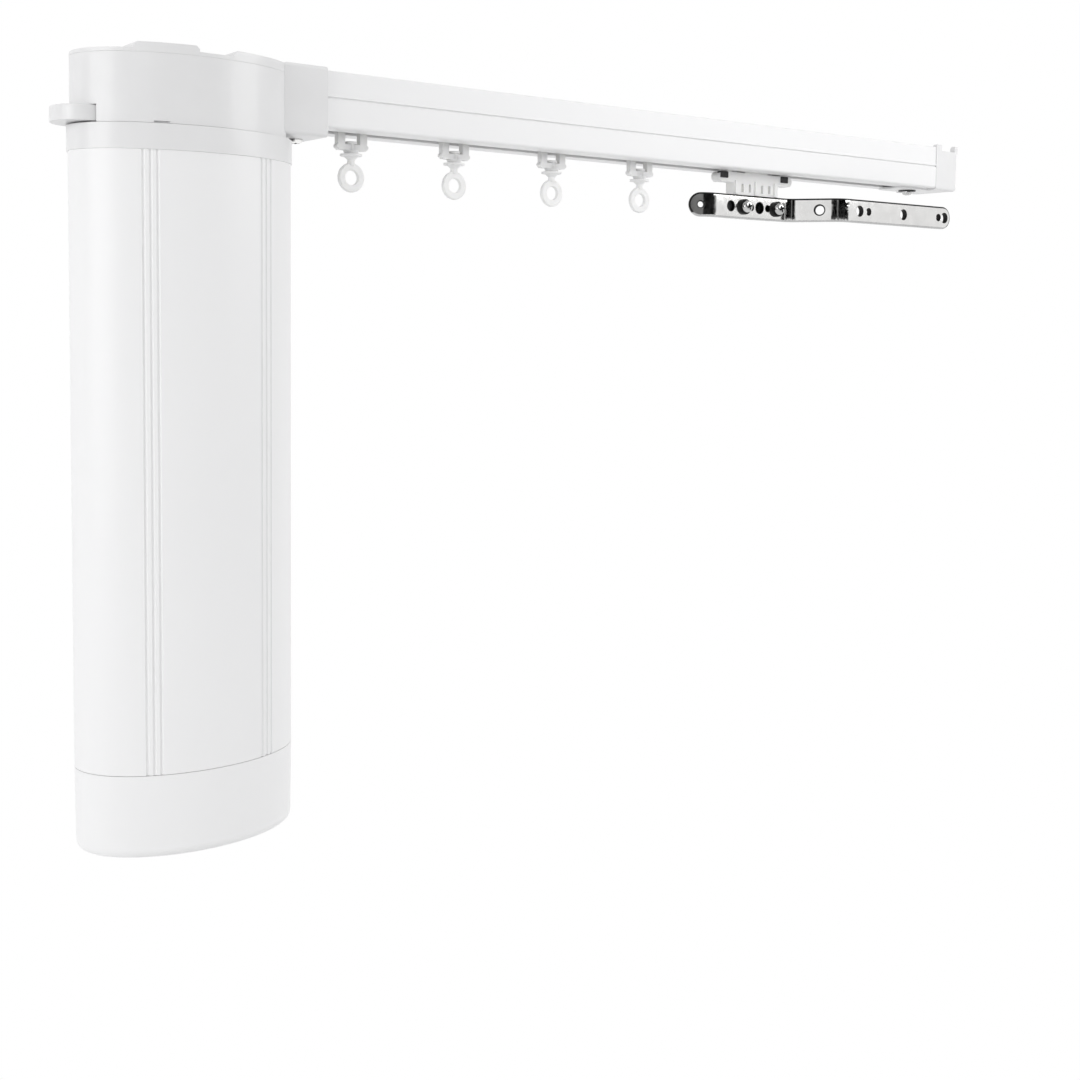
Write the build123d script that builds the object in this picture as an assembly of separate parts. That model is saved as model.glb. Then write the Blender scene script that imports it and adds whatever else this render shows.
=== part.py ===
"""Electric curtain track: a battery curtain motor hung from a drive head, with a belt-driven carrier.

All sizes are in millimetres. +X runs along the track away from the motor, +Y points from the room
to the window and +Z is up. The origin is the middle of the ceiling bracket channel's mouth, on the
track's top plane. Lengths that start with a piece's name belong to that piece.
"""
import os
from math import acos, ceil, cos, degrees, pi, radians, sin, sqrt, tan

from build123d import *

os.makedirs("parts", exist_ok=True)

# Cutters and clearances
overrun = 1.0            # how far a cutter runs past the face that it cuts
slide_gap = 0.15         # each side of a sliding or nested fit
shaft_gap = 0.05         # radial, shaft in a bore
rest_gap = 0.3           # between a moving piece and its neighbour
seat_gap = 0.2           # between mouldings that face each other

# Track profile, an aluminium extrusion
track_length = 401.0
track_width = 28.0
track_height = 22.7
track_corner = 1.2
track_side_wall = 1.35
track_top_wall = 1.4
track_lip = 1.5          # thickness of the two lips that carry the rollers
track_slot = 8.0         # width of the gap between the lips
upper_setback = 0.35     # the upper part of each side lies this far back
upper_depth = 9.4        # height of that upper part
bead_radius = 0.55
groove_width = 0.8
groove_depth = 0.7
ledge_top = 10.6         # below the top plane
ledge_thickness = 1.2
ledge_reach = 3.65       # from the side wall towards the middle
channel_mouth = 8.0      # bracket channel in the top
channel_width = 13.0
channel_lip = 1.4
channel_depth = 3.4
channel_floor = 1.0
channel_wall = 1.2

# Toothed drive belt and its pulleys
belt_pitch = 5.0
pulley_teeth = 14
belt_height = 5.0
belt_back = 1.0
belt_tooth_height = 1.2
belt_tooth_root = 2.65
belt_tooth_tip = 1.8
groove_side_gap = 0.17
groove_end_gap = 0.12
pulley_land_gap = 0.15
pulley_rim = 0.15        # how far the pulley's body stands past the belt's lower edge
pulley_flange = 0.5
pulley_flange_reach = 0.7   # past the pitch circle
pulley_bore = 3.0

# Motor body, elliptical in plan
body_half_length = 44.0
body_half_depth = 28.65
body_wall = 1.6
body_top = 38.4          # below the top plane
body_length = 233.2
track_entry = 7.0        # the track's end lies this far inside the body's end
flute_centre = 23.2
flute_pitch = 2.4
flute_count = 3
flute_radius = 0.75
flute_depth = 0.5

# Drive head
head_inset = 0.8         # the head's outline lies inside the body's outline
head_wall = 2.2
head_flat_wall = 1.8
head_top = 1.9           # below the top plane
head_bottom = 28.7
web_top = 11.6
web_thickness = 2.0
lid_thickness = 1.5
lid_block_height = 2.2
lid_block_start = -28.0  # from the motor axis
lid_block_end = -5.0
lid_rise_start = 9.0
lid_corner = 1.2
lid_boss_radius = 5.0
lid_boss_depth = 1.4
lid_post_radius = 2.4
lid_post_share = 0.5556  # place of the lid's posts along the head, of its half length
window_half = 13.0
pry_slot_start = -21.5
pry_slot_end = -16.0
pry_slot_height = 0.7
pry_slot_depth = 1.2

# Track adaptor, the rectangular sleeve between the head and the track
adaptor_proud = 2.0      # each side, past the track
adaptor_above = 1.0
adaptor_below = 4.2
adaptor_reach = 17.7     # along the track
adaptor_corner = 1.6

# Shaft, bearing and coupling in the head
journal_radius = 2.5
journal_length = 1.7
shaft_radius = 4.0
bearing_radius = 9.5
bearing_thickness = 5.0
bearing_wall = 2.0
socket_radius = 7.0
socket_top = 17.4
socket_bottom = 26.5
socket_depth = 7.2
drive_hex = 4.6          # half the distance across the corners of the male hexagon
drive_hex_gap = 0.2

# Release tab
tab_reach = 7.1          # past the body's end
tab_half_width = 12.0
tab_tip_share = 0.62     # width of the tip, of the full width
tab_flare_share = 0.62   # where the tongue's sides flare out, of its reach
tab_top = 22.6
tab_bottom = 28.4
tab_frame_top = 24.9
tab_frame_end = 17.0
tab_frame_bar = 2.4
tab_frame_rail = 3.6
tab_travel = 3.0
tab_edge = 0.5
spring_wire = 0.6
spring_radius = 1.9
spring_turns = 6
spring_inset = 9.2       # inside the head's end
spring_length = 11.4
spring_post = 2.2
spring_pocket = 3.0

# Motor collar
collar_top = 28.9
collar_proud = 0.45
collar_wall = 2.3
deck_top = 31.6
deck_thickness = 3.0
deck_bore = 8.0
skirt_depth = 4.0
skirt_wall = 1.4
catch_width = 10.0
catch_stem_start = 9.4
catch_stem = 2.2
catch_lip = 4.0
catch_top = 22.9
catch_lip_height = 1.6

# Gearbox: a sun, three planets and a fixed ring
gearbox_room = 4.05      # between the gearbox and the body's inside, at the narrowest place
gearbox_wall = 2.96      # outside the ring's teeth
sun_teeth = 12
planet_teeth = 18
ring_teeth = 48
planet_count = 3
pressure_angle = 25.0
addendum_share = 0.8
dedendum_share = 1.05
flank_gap = 0.05
gear_face = 9.0
gearbox_cover = 4.0
gearbox_length = 27.0
arm_disc_gap = 1.56      # inside the tips of the ring's teeth
arm_disc_thickness = 3.0
arm_disc_drop = 1.2
gear_drop = 0.4
planet_pin = 2.0
output_radius = 5.0
deck_screw_inset = 5.0   # from the gearbox's outside
deck_screw_radius = 1.5
deck_screw_head = 2.8
deck_screw_head_height = 1.6
deck_screw_length = 5.5

# Motor
can_inset = 5.0          # from the gearbox's outside
can_share = 0.578        # length of the can, of the room between gearbox and bulkhead
can_wall = 1.5
can_flange = 2.0
armature_gap = 2.0
armature_share = 0.63    # length of the armature, of the can
armature_drop_share = 0.167
rotor_shaft = 2.0
tail_boss_radius = 6.0
tail_boss = 3.0

# Circuit board
board_place = 0.7312     # from the motor axis, as a share of the body's inner half length
board_thickness = 1.6
board_fill = 0.867       # width, as a share of the room there
board_top = 50.0
board_rail = 1.4
board_rail_depth = 4.0
chip_size = 7.0
chip_height = 1.2
capacitor_radius = 4.0
capacitor_height = 5.0
relay_width = 10.0
relay_length = 15.0
relay_height = 4.5

# Bulkhead between the electronics and the battery bay
bulkhead_to_tray = 2.0
bulkhead_thickness = 3.0
bulkhead_rim = 6.0
contact_thickness = 0.5
contact_radius = 4.5

# Battery drawer
tray_room = 111.6        # height of the drawer's bay, above the body's lower end
tray_plate = 2.0
tray_web = 2.0
tray_web_half = 18.5
cell_radius = 7.1
cell_length = 49.2
cell_nub = 1.3
cell_nub_radius = 2.7
cell_spacing = 17.0
cell_gap = 0.4
cell_layers = 2
tray_end_half_length = 30.0
tray_end_half_depth = 18.0
cap_height = 32.4
cap_wall = 2.4
cap_taper = 0.4
cap_edge = 3.6
cap_spigot = 3.0
cap_spigot_wall = 1.8

# Gliders
glider_shares = (0.093, 0.2214, 0.3554, 0.4882)   # places along the track, as shares of its length
roller_radius = 3.4
roller_width = 3.0
roller_side = 0.6        # between a lip's edge and the roller's inner face
roller_gap = 0.1
axle_radius = 1.0
post_spacing = 10.46
post_width = 3.4
post_depth = 3.0
glider_bar_length = 13.0
glider_bar_depth = 3.0
glider_bar_top = 26.9
glider_bar_thickness = 2.5
glider_bar_bead = 1.05
glider_neck_top = 3.3
glider_neck_bottom = 2.8
glider_neck = 1.3
eyelet_stem = 1.6
eyelet_head = 2.6
eyelet_head_height = 1.0
eyelet_flange = 4.65
eyelet_flange_thickness = 0.9
eyelet_neck = 1.6
eyelet_flare_share = 0.45   # of the neck's height, where it widens to the flange
eyelet_ring_drop = 40.6  # the ring's centre, below the top plane
eyelet_outer = 6.1
eyelet_inner = 3.05
eyelet_thickness = 2.0
eyelet_chamfer = 0.5
eyelet_inner_chamfer = 0.3

# Master carrier
carrier_share = 0.6778   # place along the track, as a share of its length
carrier_length = 46.6
carrier_half_depth = 3.0
carrier_top = 23.2
carrier_bottom = 28.2
carrier_end_radius = 2.6
carrier_axle_spacing = 38.0
carrier_rib_count = 3
carrier_rib_pitch = 13.9
carrier_rib_width = 2.2
carrier_rib_proud = 0.7
carrier_foot_length = 31.0
carrier_foot_depth = 6.0
carrier_foot_front = 3.0
carrier_foot_bottom = 46.0
carrier_slot_length = 2.6
carrier_slot_height = 4.6
carrier_slot_depth = 1.6
bumper_length = 5.2
bumper_height = 3.2
bumper_inset = 2.3
bumper_proud = 0.5
bumper_places = (-22.7, 20.2)   # from the carrier's middle
clamp_length = 16.0
clamp_wall = 0.7
clamp_bridge = 1.1
clamp_gap = 0.1
clamp_arm = 1.3

# Curtain arm, a bent steel strap
strap_thickness = 2.0
strap_height = 12.0
strap_drop = 40.4        # its middle, below the top plane
strap_bend_radius = 5.5
strap_tail_angle = 35.0
strap_tail_length = 10.7
strap_front_start = -32.9   # from the carrier's middle, at the tail's bend
strap_front_end = 22.8      # at the jog's bend
strap_jog_angle = 45.0
strap_jog_depth = 22.2
strap_end = 125.9           # from the carrier's middle
hole_large = 2.75
hole_small = 1.85
hole_pilot = 1.7
hole_wide = 3.1
hole_jog = 2.9
jog_hole_share = 0.5
front_hole_shares = (0.2424, 0.605)       # along the part that is screwed to the carrier
front_small_shares = (0.501, 0.7095)
front_screw_shares = (0.4057, 0.8205)
back_hole_shares = (0.0816, 0.512, 0.9345)  # large holes along the offset part
back_small_shares = (0.168, 0.8727)
arm_screw_radius = 1.6
arm_screw_head = 3.5
arm_screw_head_height = 2.4
arm_screw_length = 5.0

# End cap, idler and clamp screws
cap_box_length = 18.0
cap_box_proud = 0.2
cap_box_wall = 1.3
cap_roof = 2.0
cap_ear_rise = 1.3
cap_ear_depth = 3.2
cap_ear_left = 4.2
cap_ear_right = 2.4
cap_end_gap = 0.7
cap_corner = 1.5
tongue_reach = 23.5
tongue_thickness = 1.0
tongue_half_width = 9.0
cap_key_length = 8.0
idler_pin_radius = 2.0
clamp_screw_inset = 7.3     # from the track's end
clamp_screw_radius = 2.0
clamp_screw_head = 2.7
clamp_screw_head_height = 1.9
clamp_screw_washer = 4.7
clamp_screw_washer_thickness = 0.6
adaptor_screw_inset = 11.5    # from the track's end
adaptor_screw_radius = 1.5
adaptor_screw_head = 2.9
adaptor_screw_head_height = 1.6
nut_half = 4.6
nut_thickness = 2.4
nut_overlap = 1.2

# Places that follow from the sizes above
motor_x = -track_length / 2 - (body_half_length - track_entry)
track_start = -track_length / 2
track_end = track_length / 2
clamp_screw_x = track_end - clamp_screw_inset
adaptor_screw_x = track_start + adaptor_screw_inset
pitch_radius = pulley_teeth * belt_pitch / (2 * pi)
pulley_turn = pulley_teeth * belt_pitch
belt_teeth = round((2 * (track_end + cap_box_length - cap_box_wall - cap_end_gap - pitch_radius
                         - belt_back / 2 - motor_x) + pulley_turn) / belt_pitch)
belt_centres = (belt_teeth * belt_pitch - pulley_turn) / 2
idler_x = motor_x + belt_centres
belt_bottom = -(ledge_top - rest_gap)
belt_top = belt_bottom + belt_height
belt_inner = pitch_radius - belt_back / 2
belt_outer = pitch_radius + belt_back / 2
tooth_tip_radius = belt_inner - belt_tooth_height
inner_half = track_width / 2 - track_side_wall
pulley_bottom = belt_bottom - pulley_rim
pulley_top = belt_top + pulley_rim
roller_z = -track_height + track_lip + roller_gap + roller_radius
roller_inner = track_slot / 2 + roller_side
roller_outer = roller_inner + roller_width
body_bottom = body_top + body_length
head_half_length = body_half_length - head_inset
head_half_depth = body_half_depth - head_inset
head_flat = track_start - rest_gap - motor_x
spring_start = spring_inset - head_half_length
lid_post_x = lid_post_share * head_half_length
lid_wall_share = sqrt(1 - (lid_post_x / (head_half_length - head_wall)) ** 2)
lid_post_y = (belt_outer + (head_half_depth - head_wall) * lid_wall_share) / 2   # between belt and wall
lid_bottom = head_top + lid_thickness
tray_top = body_bottom - tray_room
bulkhead_top = tray_top - bulkhead_to_tray - bulkhead_thickness
gearbox_radius = body_half_depth - body_wall - gearbox_room
board_x = board_place * (body_half_length - body_wall)
board_outer_share = (board_x + board_thickness) / (body_half_length - body_wall)
board_half_width = board_fill * (body_half_depth - body_wall) * sqrt(1 - board_outer_share ** 2)
gear_module = (gearbox_radius - gearbox_wall) / (ring_teeth / 2 + dedendum_share)
deck_screw_circle = gearbox_radius - deck_screw_inset
gearbox_top = deck_top + deck_thickness
gearbox_bottom = gearbox_top + gearbox_length
arm_disc_top = gearbox_top + gearbox_cover + arm_disc_drop
gear_top = arm_disc_top + arm_disc_thickness + gear_drop
gear_bottom = gear_top + gear_face
sun_radius = gear_module * sun_teeth / 2
planet_radius = gear_module * planet_teeth / 2
ring_radius = gear_module * ring_teeth / 2
gear_centres = sun_radius + planet_radius
arm_disc_radius = ring_radius - addendum_share * gear_module - arm_disc_gap
can_radius = gearbox_radius - can_inset
can_length = can_share * (bulkhead_top - gearbox_bottom)
can_bottom = gearbox_bottom + can_length
armature_radius = can_radius - can_wall - armature_gap
armature_length = armature_share * can_length
armature_drop = armature_drop_share * can_length
cap_bottom = body_bottom + cap_height
carrier_x = track_start + carrier_share * track_length
glider_places = [track_start + share * track_length for share in glider_shares]


def block(x0, x1, y0, y1, z0, z1):
    """A box between two corners."""
    middle = Pos((x0 + x1) / 2, (y0 + y1) / 2, (z0 + z1) / 2)
    return middle * Box(abs(x1 - x0), abs(y1 - y0), abs(z1 - z0))


def post(radius, z0, z1, x=0, y=0):
    """An upright cylinder."""
    return Pos(x, y, (z0 + z1) / 2) * Cylinder(radius, abs(z1 - z0))


def cross_rod(radius, x, z, y0, y1):
    """A cylinder along Y."""
    return Pos(x, (y0 + y1) / 2, z) * Rot(90, 0, 0) * Cylinder(radius, abs(y1 - y0))


def oval(half_length, half_depth, z0, z1):
    """An elliptical prism about the motor axis."""
    return extrude(Pos(motor_x, 0, z0) * Ellipse(half_length, half_depth), z1 - z0)


def window(y0, y1, z0, z1):
    """A rectangle of the track's section, drawn in Y and Z."""
    return Pos((y0 + y1) / 2, (z0 + z1) / 2) * Rectangle(abs(y1 - y0), abs(z1 - z0))


def both_sides(shape):
    """A shape of the track's section together with its mirror image."""
    return shape + mirror(shape, about=Plane.YZ)


def polar(radius, angle):
    return (radius * cos(angle), radius * sin(angle))


def track_section():
    half = track_width / 2
    section = fillet(window(-half, half, -track_height, 0).vertices(), track_corner)
    section -= both_sides(window(half - upper_setback, half + overrun, -upper_depth, overrun))
    groove_top = -upper_depth - 2 * bead_radius
    section -= both_sides(window(half - groove_depth, half + overrun, groove_top - groove_width, groove_top))
    section += both_sides(Pos(half - bead_radius, groove_top + bead_radius) * Circle(bead_radius))
    section -= window(-inner_half, inner_half, -track_height + track_lip, -track_top_wall)
    section -= window(-track_slot / 2, track_slot / 2, -track_height - overrun, 0)
    channel_half = channel_width / 2
    housing = window(-channel_half - channel_wall, channel_half + channel_wall,
                     -channel_depth - channel_floor, 0)
    section += housing
    section -= window(-channel_half, channel_half, -channel_depth, -channel_lip)
    section -= window(-channel_mouth / 2, channel_mouth / 2, -channel_depth, overrun)
    section += both_sides(window(inner_half - ledge_reach, inner_half + groove_depth / 2,
                                 -ledge_top - ledge_thickness, -ledge_top))
    return section


def make_track():
    return extrude(Plane.YZ * track_section(), track_length / 2, both=True)


def tooth_offset():
    """How far past the idler's tangent point the first belt tooth of its arc lies."""
    return ceil(belt_centres / belt_pitch) * belt_pitch - belt_centres


def belt_place(s):
    """Point and direction angle on the pitch line, a distance s along it from the drive pulley."""
    arc = pitch_radius * pi
    s = s % (2 * belt_centres + 2 * arc)
    if s < belt_centres:
        return (motor_x + s, -pitch_radius, 0)
    s -= belt_centres
    if s < arc:
        turn = s / pitch_radius
        x, y = polar(pitch_radius, turn - pi / 2)
        return (idler_x + x, y, turn)
    s -= arc
    if s < belt_centres:
        return (idler_x - s, pitch_radius, pi)
    s -= belt_centres
    turn = s / pitch_radius
    x, y = polar(pitch_radius, turn + pi / 2)
    return (motor_x + x, y, pi + turn)


def make_belt():
    """A closed loop with square teeth on its inner side, in mesh with both pulleys."""
    profile = ((-belt_tooth_root / 2, 0), (-belt_tooth_tip / 2, belt_tooth_height),
               (belt_tooth_tip / 2, belt_tooth_height), (belt_tooth_root / 2, 0))
    inside = []
    for tooth in range(belt_teeth):
        x, y, turn = belt_place(tooth * belt_pitch)
        for along, inward in profile:
            step = belt_back / 2 + inward
            inside.append((x + along * cos(turn) - step * sin(turn),
                           y + along * sin(turn) + step * cos(turn)))
    outline = Pos((motor_x + idler_x) / 2, 0) * SlotCenterToCenter(belt_centres, 2 * belt_outer)
    loop = outline - Polygon(*inside, align=None)
    return extrude(Pos(0, 0, belt_bottom) * loop, belt_height)


def pulley_wheel(x, first_groove):
    """A pulley with one flange on top; first_groove is the angle of one groove."""
    land = belt_inner - pulley_land_gap
    floor = tooth_tip_radius - groove_end_gap
    pitch = 2 * pi / pulley_teeth
    mouth = (belt_tooth_root / 2 + groove_side_gap) / land
    bottom = (belt_tooth_tip / 2 + groove_side_gap) / floor
    points = []
    for groove in range(pulley_teeth):
        middle = first_groove + groove * pitch
        for radius, angle in ((land, middle - mouth), (floor, middle - bottom),
                              (floor, middle + bottom), (land, middle + mouth)):
            points.append(polar(radius, angle))
    wheel = extrude(Pos(x, 0, pulley_bottom) * Polygon(*points, align=None), pulley_top - pulley_bottom)
    wheel += post(pitch_radius + pulley_flange_reach, pulley_top, pulley_top + pulley_flange, x)
    return wheel


def make_drive_pulley():
    wheel = pulley_wheel(motor_x, -pi / 2)
    return wheel - post(pulley_bore, pulley_bottom - overrun, pulley_top + pulley_flange + overrun, motor_x)


def make_idler():
    wheel = pulley_wheel(idler_x, -pi / 2 + tooth_offset() / pitch_radius)
    bore = post(idler_pin_radius + shaft_gap, pulley_bottom - overrun,
                pulley_top + pulley_flange + overrun, idler_x)
    return wheel - bore


def make_end_cap():
    half = track_width / 2 + cap_box_proud
    end = track_end + cap_box_length
    bottom = -track_height - tongue_thickness
    body = block(track_end, end, -half, half, bottom, -cap_roof)
    upright = body.edges().filter_by(Axis.Z).sort_by(Axis.X)[-2:]
    body = fillet(upright, cap_corner)
    body = fillet(body.faces().sort_by(Axis.X)[-1].edges().sort_by(Axis.Z)[0], cap_corner)
    chamber_top = pulley_top + pulley_flange + rest_gap
    chamber = block(track_end - overrun, end - cap_box_wall, -inner_half, inner_half,
                    pulley_bottom - rest_gap, chamber_top)
    body -= chamber
    lower = block(track_end - overrun, end - cap_box_wall, -inner_half, inner_half,
                  -track_height + cap_box_wall, pulley_bottom - rest_gap - cap_box_wall)
    body -= lower
    ear_base = -cap_roof - overrun
    left_ear = block(track_end, track_end + cap_ear_left, -half, -half + cap_ear_depth, ear_base, cap_ear_rise)
    right_ear = block(end - cap_ear_right, end, -half, -half + cap_ear_depth, ear_base, cap_ear_rise)
    left_ear = fillet(left_ear.edges().filter_by(Axis.X).sort_by(Axis.Z)[-2:].sort_by(Axis.Y)[-1],
                      cap_ear_depth / 2)
    right_ear = fillet(right_ear.edges().filter_by(Axis.X).sort_by(Axis.Z)[-2:].sort_by(Axis.Y)[-1],
                       cap_ear_depth / 2)
    body += left_ear + right_ear
    key = block(track_end - cap_key_length, track_end + overrun,
                -channel_width / 2 + slide_gap, channel_width / 2 - slide_gap,
                -channel_depth + slide_gap, -channel_lip - slide_gap)
    tongue = block(track_end - tongue_reach, track_end + overrun, -tongue_half_width, tongue_half_width,
                   bottom, bottom + tongue_thickness)
    tongue = fillet(tongue.edges().filter_by(Axis.Z).sort_by(Axis.X)[:2], tongue_half_width / 2)
    body += key + tongue
    body -= post(idler_pin_radius, bottom, 0, idler_x) & block(track_end, end, -half, half,
                                                               -track_height + cap_box_wall, 0)
    body -= post(clamp_screw_radius + slide_gap, bottom - overrun, bottom + tongue_thickness + overrun,
                 clamp_screw_x)
    return body


def make_idler_pin():
    return post(idler_pin_radius, -track_height + cap_box_wall, -cap_roof, idler_x)


def make_clamp_screw():
    """Pan head with a flange washer, under the end cap's tongue."""
    seat = -track_height - tongue_thickness
    screw = post(clamp_screw_washer, seat - clamp_screw_washer_thickness, seat, clamp_screw_x)
    head = post(clamp_screw_head, seat - clamp_screw_washer_thickness - clamp_screw_head_height,
                seat - clamp_screw_washer_thickness, clamp_screw_x)
    head = fillet(head.faces().sort_by(Axis.Z)[0].edges(), clamp_screw_head_height / 2)
    shank = post(clamp_screw_radius, seat - overrun / 2, -track_height + track_lip + nut_thickness,
                 clamp_screw_x)
    return screw + head + shank


def make_adaptor_screw():
    seat = -track_height - adaptor_below
    head = post(adaptor_screw_head, seat - adaptor_screw_head_height, seat, adaptor_screw_x)
    head = fillet(head.faces().sort_by(Axis.Z)[0].edges(), adaptor_screw_head_height / 2)
    shank = post(adaptor_screw_radius, seat - overrun / 2, -track_height + track_lip + nut_thickness,
                 adaptor_screw_x)
    return head + shank


def make_clamp_nuts():
    """Square nuts that lie across the lips inside the track."""
    floor = -track_height + track_lip
    reach = track_slot / 2 + nut_overlap + nut_overlap
    nuts = []
    for x, radius in ((clamp_screw_x, clamp_screw_radius), (adaptor_screw_x, adaptor_screw_radius)):
        nut = block(x - nut_half, x + nut_half, -reach, reach, floor, floor + nut_thickness)
        nuts.append(nut - post(radius, floor - overrun, floor + nut_thickness + overrun, x))
    return nuts


def head_outline(inset, z0, z1):
    """The head's ellipse, cut flat where the track starts."""
    shape = oval(head_half_length - inset, head_half_depth - inset, z0, z1)
    flat = motor_x + head_flat - (head_flat_wall if inset else 0)
    return shape & block(motor_x - head_half_length, flat, -head_half_depth, head_half_depth, z0, z1)


def lid_post_places():
    return [(motor_x + i * lid_post_x, j * lid_post_y) for i in (-1, 1) for j in (-1, 1)]


def make_head_housing():
    body = head_outline(0, -head_bottom, -lid_bottom)
    body -= head_outline(head_wall, -web_top, -lid_bottom + overrun)
    body -= head_outline(head_wall, -head_bottom - overrun, -web_top - web_thickness)
    boss_bottom = -web_top - bearing_thickness
    body += post(bearing_radius + bearing_wall, boss_bottom, -web_top - web_thickness / 2, motor_x)
    body -= post(bearing_radius, boss_bottom, -web_top + overrun, motor_x)
    body -= post(bearing_radius - bearing_wall, boss_bottom - overrun, boss_bottom + overrun, motor_x)
    body -= block(motor_x + head_flat - head_flat_wall - overrun, motor_x + head_flat + overrun,
                  -window_half, window_half, -web_top, -lid_bottom + overrun)
    slot_half = tab_half_width + rest_gap
    body -= block(motor_x - head_half_length - overrun, motor_x - head_half_length / 2,
                  -slot_half, slot_half, -head_bottom - overrun, -tab_top + rest_gap)
    post_end = spring_start + spring_length
    body += block(motor_x + post_end, motor_x + post_end + spring_post, -spring_pocket + rest_gap,
                  spring_pocket - rest_gap, -tab_bottom + rest_gap, -web_top - web_thickness / 2)
    slot = block(motor_x + pry_slot_start, motor_x + pry_slot_end, -head_half_depth, 0,
                 -head_bottom - overrun, -head_bottom + pry_slot_height)
    rim = head_outline(0, -head_bottom - overrun, -head_bottom + pry_slot_height + overrun)
    rim -= head_outline(pry_slot_depth, -head_bottom - 2 * overrun, -head_bottom + pry_slot_height + 2 * overrun)
    body -= slot & rim
    for x, y in lid_post_places():
        body -= post(deck_screw_radius, -web_top - web_thickness - overrun, -web_top + overrun, x, y)
    return body


def make_head_lid():
    lid = head_outline(0, -lid_bottom, -head_top)
    whole = head_outline(0, -head_top, -head_top + lid_block_height)
    far = head_half_length
    first = whole & block(motor_x + lid_block_start, motor_x + lid_block_end, -far, far,
                          -head_top, -head_top + lid_block_height)
    second = whole & block(motor_x + lid_rise_start, motor_x + far, -far, far,
                           -head_top, -head_top + lid_block_height)
    first = chamfer(first.faces().sort_by(Axis.Z)[-1].edges().filter_by(Axis.Y), lid_corner)
    second = chamfer(second.faces().sort_by(Axis.Z)[-1].edges().filter_by(Axis.Y).sort_by(Axis.X)[0], lid_corner)
    lid += first + second
    boss_end = -lid_bottom - lid_boss_depth + rest_gap
    lid += post(lid_boss_radius, boss_end, -lid_bottom, motor_x)
    for x, y in lid_post_places():
        lid += post(lid_post_radius, -web_top, -lid_bottom, x, y)
        lid -= post(deck_screw_radius, -web_top - overrun, -lid_bottom, x, y)
    journal = journal_radius + shaft_gap
    lid -= post(journal, boss_end - overrun, -lid_bottom + rest_gap, motor_x)
    return lid


def screw(x, y, seat, radius, head, head_height, length, up=1):
    """A plain screw whose head rests on the level called seat; up is 1 where it points upwards."""
    top = seat - up * head_height
    body = post(head, min(top, seat), max(top, seat), x, y)
    end = seat + up * length
    return body + post(radius, min(seat - up * head_height / 2, end), max(seat - up * head_height / 2, end), x, y)


def make_head_screws():
    seat = -web_top - web_thickness
    length = web_thickness + 2 * deck_screw_head_height
    return [screw(x, y, seat, deck_screw_radius, deck_screw_head, deck_screw_head_height, length)
            for x, y in lid_post_places()]


def make_adaptor():
    """Sleeve round the track's end, seated on the head's flat."""
    half = track_width / 2 + adaptor_proud
    body = block(motor_x, track_start + adaptor_reach, -half, half,
                 -track_height - adaptor_below, adaptor_above)
    body = fillet(body.edges().filter_by(Axis.X), adaptor_corner)
    body -= oval(head_half_length, head_half_depth, -track_height - adaptor_below - overrun,
                 adaptor_above + overrun) & block(
        motor_x - head_half_length, motor_x + head_flat, -2 * half, 2 * half,
        -track_height - adaptor_below - overrun, adaptor_above + overrun)
    body -= block(motor_x, track_start + overrun, -window_half, window_half, -web_top, -lid_bottom)
    outer = window(-track_width / 2 - slide_gap, track_width / 2 + slide_gap,
                   -track_height - slide_gap, slide_gap)
    sleeve = extrude(Plane(origin=(track_start - rest_gap, 0, 0), x_dir=(0, 1, 0), z_dir=(1, 0, 0)) * outer,
                     adaptor_reach + rest_gap + overrun)
    body -= sleeve
    body -= post(adaptor_screw_radius + slide_gap, -track_height - adaptor_below - overrun,
                 -track_height + overrun, adaptor_screw_x)
    return body


def hexagon(corner_radius, z0, z1):
    return extrude(Pos(motor_x, 0, z0) * RegularPolygon(corner_radius, 6), z1 - z0)


def make_drive_shaft():
    journal_top = -lid_bottom - slide_gap
    shaft = post(journal_radius, pulley_top, journal_top, motor_x)
    shaft += post(pulley_bore, pulley_bottom, pulley_top + pulley_flange, motor_x)
    shaft += post(shaft_radius, -socket_top - overrun, pulley_bottom, motor_x)
    shaft += post(socket_radius, -socket_bottom, -socket_top, motor_x)
    shaft -= hexagon(drive_hex + drive_hex_gap, -socket_bottom - overrun, -socket_bottom + socket_depth)
    return shaft


def make_shaft_bearing():
    bottom = -web_top - bearing_thickness + overrun
    ring = post(bearing_radius, bottom, -web_top, motor_x)
    ring -= post(shaft_radius + shaft_gap, bottom - overrun, -web_top + overrun, motor_x)
    groove = post(bearing_radius - bearing_wall, -web_top - seat_gap, -web_top + overrun, motor_x)
    groove -= post(shaft_radius + bearing_wall, -web_top - seat_gap - overrun, -web_top + 2 * overrun, motor_x)
    return ring - groove


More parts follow.
